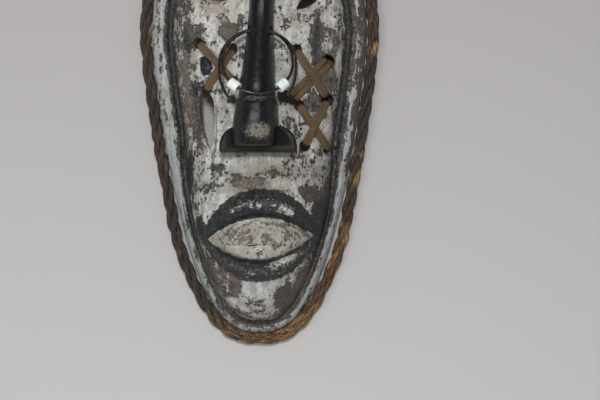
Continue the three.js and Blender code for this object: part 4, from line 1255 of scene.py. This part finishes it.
def build_stitch(name, start, end, width, lift, cross_at):
    """A flat strip from hole to hole, raised where it passes over another."""
    flat = np.array(end) - start
    flat = flat / np.linalg.norm(flat)
    t = np.concatenate([[0.0, 0.0, 0.0, 0.0], np.linspace(0.02, 0.98, 49), [1.0, 1.0, 1.0, 1.0]])
    sunk = np.concatenate([[9, 5, 2.5, 0.6], np.zeros(49), [0.6, 2.5, 5, 9]])
    across = np.array([-1, -0.92, -0.6, -0.3, 0, 0.3, 0.6, 0.92, 1])
    centre = np.outer(1 - t, start) + np.outer(t, end)
    half = width / 2 * (0.74 + 0.26 * smooth(t, 0.0, 0.10) * smooth(1 - t, 0.0, 0.10))
    half = half * (1 + 0.06 * lumps(t * 60, 0, width, 9, 80))
    x = centre[:, :1] - flat[1] * half[:, None] * across
    height = centre[:, 1:] + flat[0] * half[:, None] * across
    under = fronts(x, height)
    under = 0.5 * under + 0.5 * under.max(1, keepdims=True)
    kernel = np.array([1, 2, 3, 2, 1]) / 9
    padded = np.pad(under, ((2, 2), (0, 0)), mode="edge")
    under = sum(weight * padded[i:i + len(t)] for i, weight in enumerate(kernel))
    rise = 0.85 + lift * bell(t, cross_at, 0.2) - sunk
    back = under + rise[:, None]
    crown = 0.25 * (1 - across ** 2) + 0.10 * lumps(across * 9, 0, 0 * across, 2, 81)
    front = back + 1.15 + crown
    thickness = np.where(sunk > 0, 1.15, 0)[:, None]
    lead = np.where(t < 0.5, 1.0, -1.0)[:, None] * thickness
    front_x, front_height = x + flat[0] * lead, height + flat[1] * lead
    front = np.where(sunk[:, None] > 0.7, back, front)
    top = place(front_x, front, front_height)
    bottom = place(x, back, height)
    rows = np.concatenate([bottom[:, ::-1], top], 1)
    mesh = make_mesh(f"stitch_{name}", *skin(rows))
    shares = np.concatenate([across[::-1], across])
    run = t * np.linalg.norm(np.array(end) - start)
    shares = shares[None]
    lay_place = np.broadcast_arrays(run[:, None] / 16, shares * 3.2, start[0] + 2.0 * (shares > 0))
    store_places(mesh, "lay_place", np.stack(lay_place, -1).reshape(-1, 3))
    return mesh


for name, (start, end, width, lift, cross_at) in STITCHES.items():
    strip = build_stitch(name, start, end, width, lift, cross_at)
    add_piece(f"stitch_{name}", strip, rattan_finish, "rattan", "root", f"cheek_stitch_{name}")


# ---- hoop and beads -----------------------------------------------------------------------------

WIRE_RADIUS = 1.1
HOOP_OUTER = 30
HOOP_INNER = 27.6
HOOP_STRETCH = 1.04
HOOP_SPLAY = 8
HOOP_OFFSET = 1.3
HOOP_START = 238
HOOP_TAIL = 52
HOOP_TURNED = HOOP_START + 360 + HOOP_TAIL
# place round the hoop in degrees, side of its middle plane and tint
BEADS = {"bead_right": (-45, -1, (0.50, 0.66, 0.65)), "bead_left": (-130, 1, (0.70, 0.75, 0.73))}


def hoop_frame(points):
    """From the hoop's own frame, x across, y up in its plane and z towards the front, in mm."""
    c, s = math.cos(math.pi / 2 - HOOP_TILT), math.sin(math.pi / 2 - HOOP_TILT)
    x, y, z = points[..., 0], points[..., 1], points[..., 2]
    return np.stack([x, c * y - s * z, s * y + c * z], -1) * MM + HOOP_CENTRE


def build_hoop():
    turned_by = np.linspace(0, HOOP_TURNED, 760)
    angle = np.radians(HOOP_START - turned_by)
    to_inner = smooth(turned_by, HOOP_START - 90, HOOP_START)
    to_outer = smooth(turned_by, HOOP_START + 270, HOOP_START + 360)
    splay = np.clip(1 - turned_by / 58, 0, None) ** 1.5
    splay = splay + np.clip((turned_by - HOOP_START - 360) / HOOP_TAIL, 0, None) ** 1.5
    radius = HOOP_OUTER + (HOOP_INNER - HOOP_OUTER) * (to_inner - to_outer) + HOOP_SPLAY * splay
    offset = HOOP_OFFSET * (2 * smooth(turned_by, HOOP_START + 62, HOOP_START + 118) - 1)
    path = np.stack([radius * np.cos(angle), HOOP_STRETCH * radius * np.sin(angle), offset], 1)
    side = np.array([0.0, 0.0, 1.0])
    ends = np.minimum(turned_by, HOOP_TURNED - turned_by)
    thickness = WIRE_RADIUS * (0.55 + 0.45 * smooth(ends, 0, 1.6))
    rows = tube(path, side, thickness[:, None], 16)
    return make_mesh("hoop_coil", *skin(hoop_frame(rows)))


add_piece("hoop_coil", build_hoop(), wire_finish, "black_wire", "hoop", "hoop_wire")


def build_bead(node, angle, side):
    """A short cut of thick tube with eased rims."""
    outer, inner, half = 4.3, 1.9, 4.3
    upper = [(outer, 0), (outer, half - 0.9), (outer - 0.08, half - 0.4), (outer - 0.35, half - 0.1),
             (outer - 0.9, half), (inner + 0.3, half), (inner, half - 0.3)]
    profile = [(radius, -along) for radius, along in upper[:0:-1]] + upper + [(inner, 0)]
    rows = turned(profile + profile[:1], 48)
    x, y, z = rows[..., 0], rows[..., 1], rows[..., 2]
    dents = (1 + lumps(x, y, z, 2.6, 90 + len(node))) * (np.hypot(x, y) > 3)
    rows = rows * (1 - 0.012 * dents)[..., None]
    turn = math.radians(angle)
    radial = np.array([math.cos(turn), math.sin(turn), 0])
    along = np.array([-math.sin(turn), math.cos(turn), 0])
    centre = np.array([HOOP_INNER * math.cos(turn), HOOP_STRETCH * HOOP_INNER * math.sin(turn),
                       side * HOOP_OFFSET])
    local = centre + rows[..., :1] * radial + rows[..., 1:2] * np.array([0, 0, 1.0]) + rows[..., 2:] * along
    return make_mesh(f"{node}_cut", *skin(hoop_frame(local), ends="joined"))


for name, (angle, side, tint) in BEADS.items():
    finish = white_bead(f"{name}_white", tint)
    add_piece(f"{name}_cut", build_bead(name, angle, side), finish, "white_bead", name, name)


# ---- camera, wall, floor and light --------------------------------------------------------------

def stage_material(name, colour, end_colour, span):
    """Plain matt paint, seen from its front only, that changes from one colour to another along Z; on the
    wall this is painted shade, darker towards the top.
    """
    s = Surface(name, Roughness=0.9, Specular_IOR_Level=0.15)
    height = s.node("ShaderNodeSeparateXYZ", {"Vector": s.place}, output="Z")
    share = s.node("ShaderNodeMapRange", {"Value": height, "From Min": span[0], "From Max": span[1]})
    s.set(Base_Color=s.mix(share, colour, end_colour))
    clear = s.node("ShaderNodeBsdfTransparent", {})
    behind = s.node("ShaderNodeNewGeometry", {}, output="Backfacing")
    shown = s.node("ShaderNodeMixShader", {0: behind, 1: s.shader.outputs[0], 2: clear})
    s.tree.links.new(shown, s.tree.nodes["Material Output"].inputs["Surface"])
    return s.material


def add_sheet(name, corners, material):
    mesh = bpy.data.meshes.new(name)
    mesh.from_pydata(corners, [], [(0, 1, 2, 3)])
    sheet = bpy.data.objects.new(name, mesh)
    mesh.materials.append(material)
    bpy.context.scene.collection.objects.link(sheet)
    sheet.visible_shadow = False
    return sheet


WALL_GAP = 0.001
WALL_HALF_WIDTH = 3
WALL_TOP = 2
FLOOR_LEVEL = -1.15
FLOOR_FRONT = -4
FLOOR_COLOUR = (0.62, 0.61, 0.60)
# the wall's paint darkens towards the top: painted shade
wall_shaded_top = stage_material("wall_shaded_top", (0.515, 0.508, 0.508), (0.372, 0.360, 0.354), (-0.45, -0.02))
floor_paint = stage_material("floor_paint", FLOOR_COLOUR, FLOOR_COLOUR, (0, 1))
left, right = -WALL_HALF_WIDTH, WALL_HALF_WIDTH
add_sheet("wall", [(left, WALL_GAP, FLOOR_LEVEL), (right, WALL_GAP, FLOOR_LEVEL),
                   (right, WALL_GAP, WALL_TOP), (left, WALL_GAP, WALL_TOP)], wall_shaded_top)
add_sheet("floor", [(left, FLOOR_FRONT, FLOOR_LEVEL), (right, FLOOR_FRONT, FLOOR_LEVEL),
                    (right, WALL_GAP, FLOOR_LEVEL), (left, WALL_GAP, FLOOR_LEVEL)], floor_paint)


def add_light(name, where, towards, size, watts):
    light = bpy.data.lights.new(name, "AREA")
    light.shape = "DISK"
    light.size = size
    light.energy = watts
    holder = bpy.data.objects.new(name, light)
    holder.location = where
    holder.rotation_mode = "QUATERNION"
    holder.rotation_quaternion = (Vector(towards) - Vector(where)).to_track_quat("-Z", "Y")
    bpy.context.scene.collection.objects.link(holder)


MASK_MIDDLE = (0, -0.05, -0.19)
add_light("front_light", (0.03, -1.5, 0.12), MASK_MIDDLE, 0.22, 14.5)
add_light("side_light", (-0.8, -1.5, -0.5), MASK_MIDDLE, 1.0, 7)
add_light("back_light", (0.5, 1.6, 0.3), MASK_MIDDLE, 1.4, 17)

world = bpy.data.worlds.new("room")
world.use_nodes = True
sky = world.node_tree.nodes["Background"].inputs
sky["Color"].default_value = (1.0, 0.985, 0.98, 1)
sky["Strength"].default_value = 0.30
bpy.context.scene.world = world

CAMERA_PLACE = (0.0337, -1.1, -0.2626)
LENS = 78.6
SENSOR_WIDTH = 36
NEAREST_SEEN = 0.05
camera_data = bpy.data.cameras.new("camera")
camera_data.lens = LENS
camera_data.sensor_width = SENSOR_WIDTH
camera_data.clip_start = NEAREST_SEEN
camera = bpy.data.objects.new("camera", camera_data)
camera.location = CAMERA_PLACE
camera.rotation_euler = (math.pi / 2, 0, 0)
bpy.context.scene.collection.objects.link(camera)
bpy.context.scene.camera = camera

bpy.context.scene.view_settings.view_transform = "Standard"
bpy.context.scene.view_settings.look = "None"
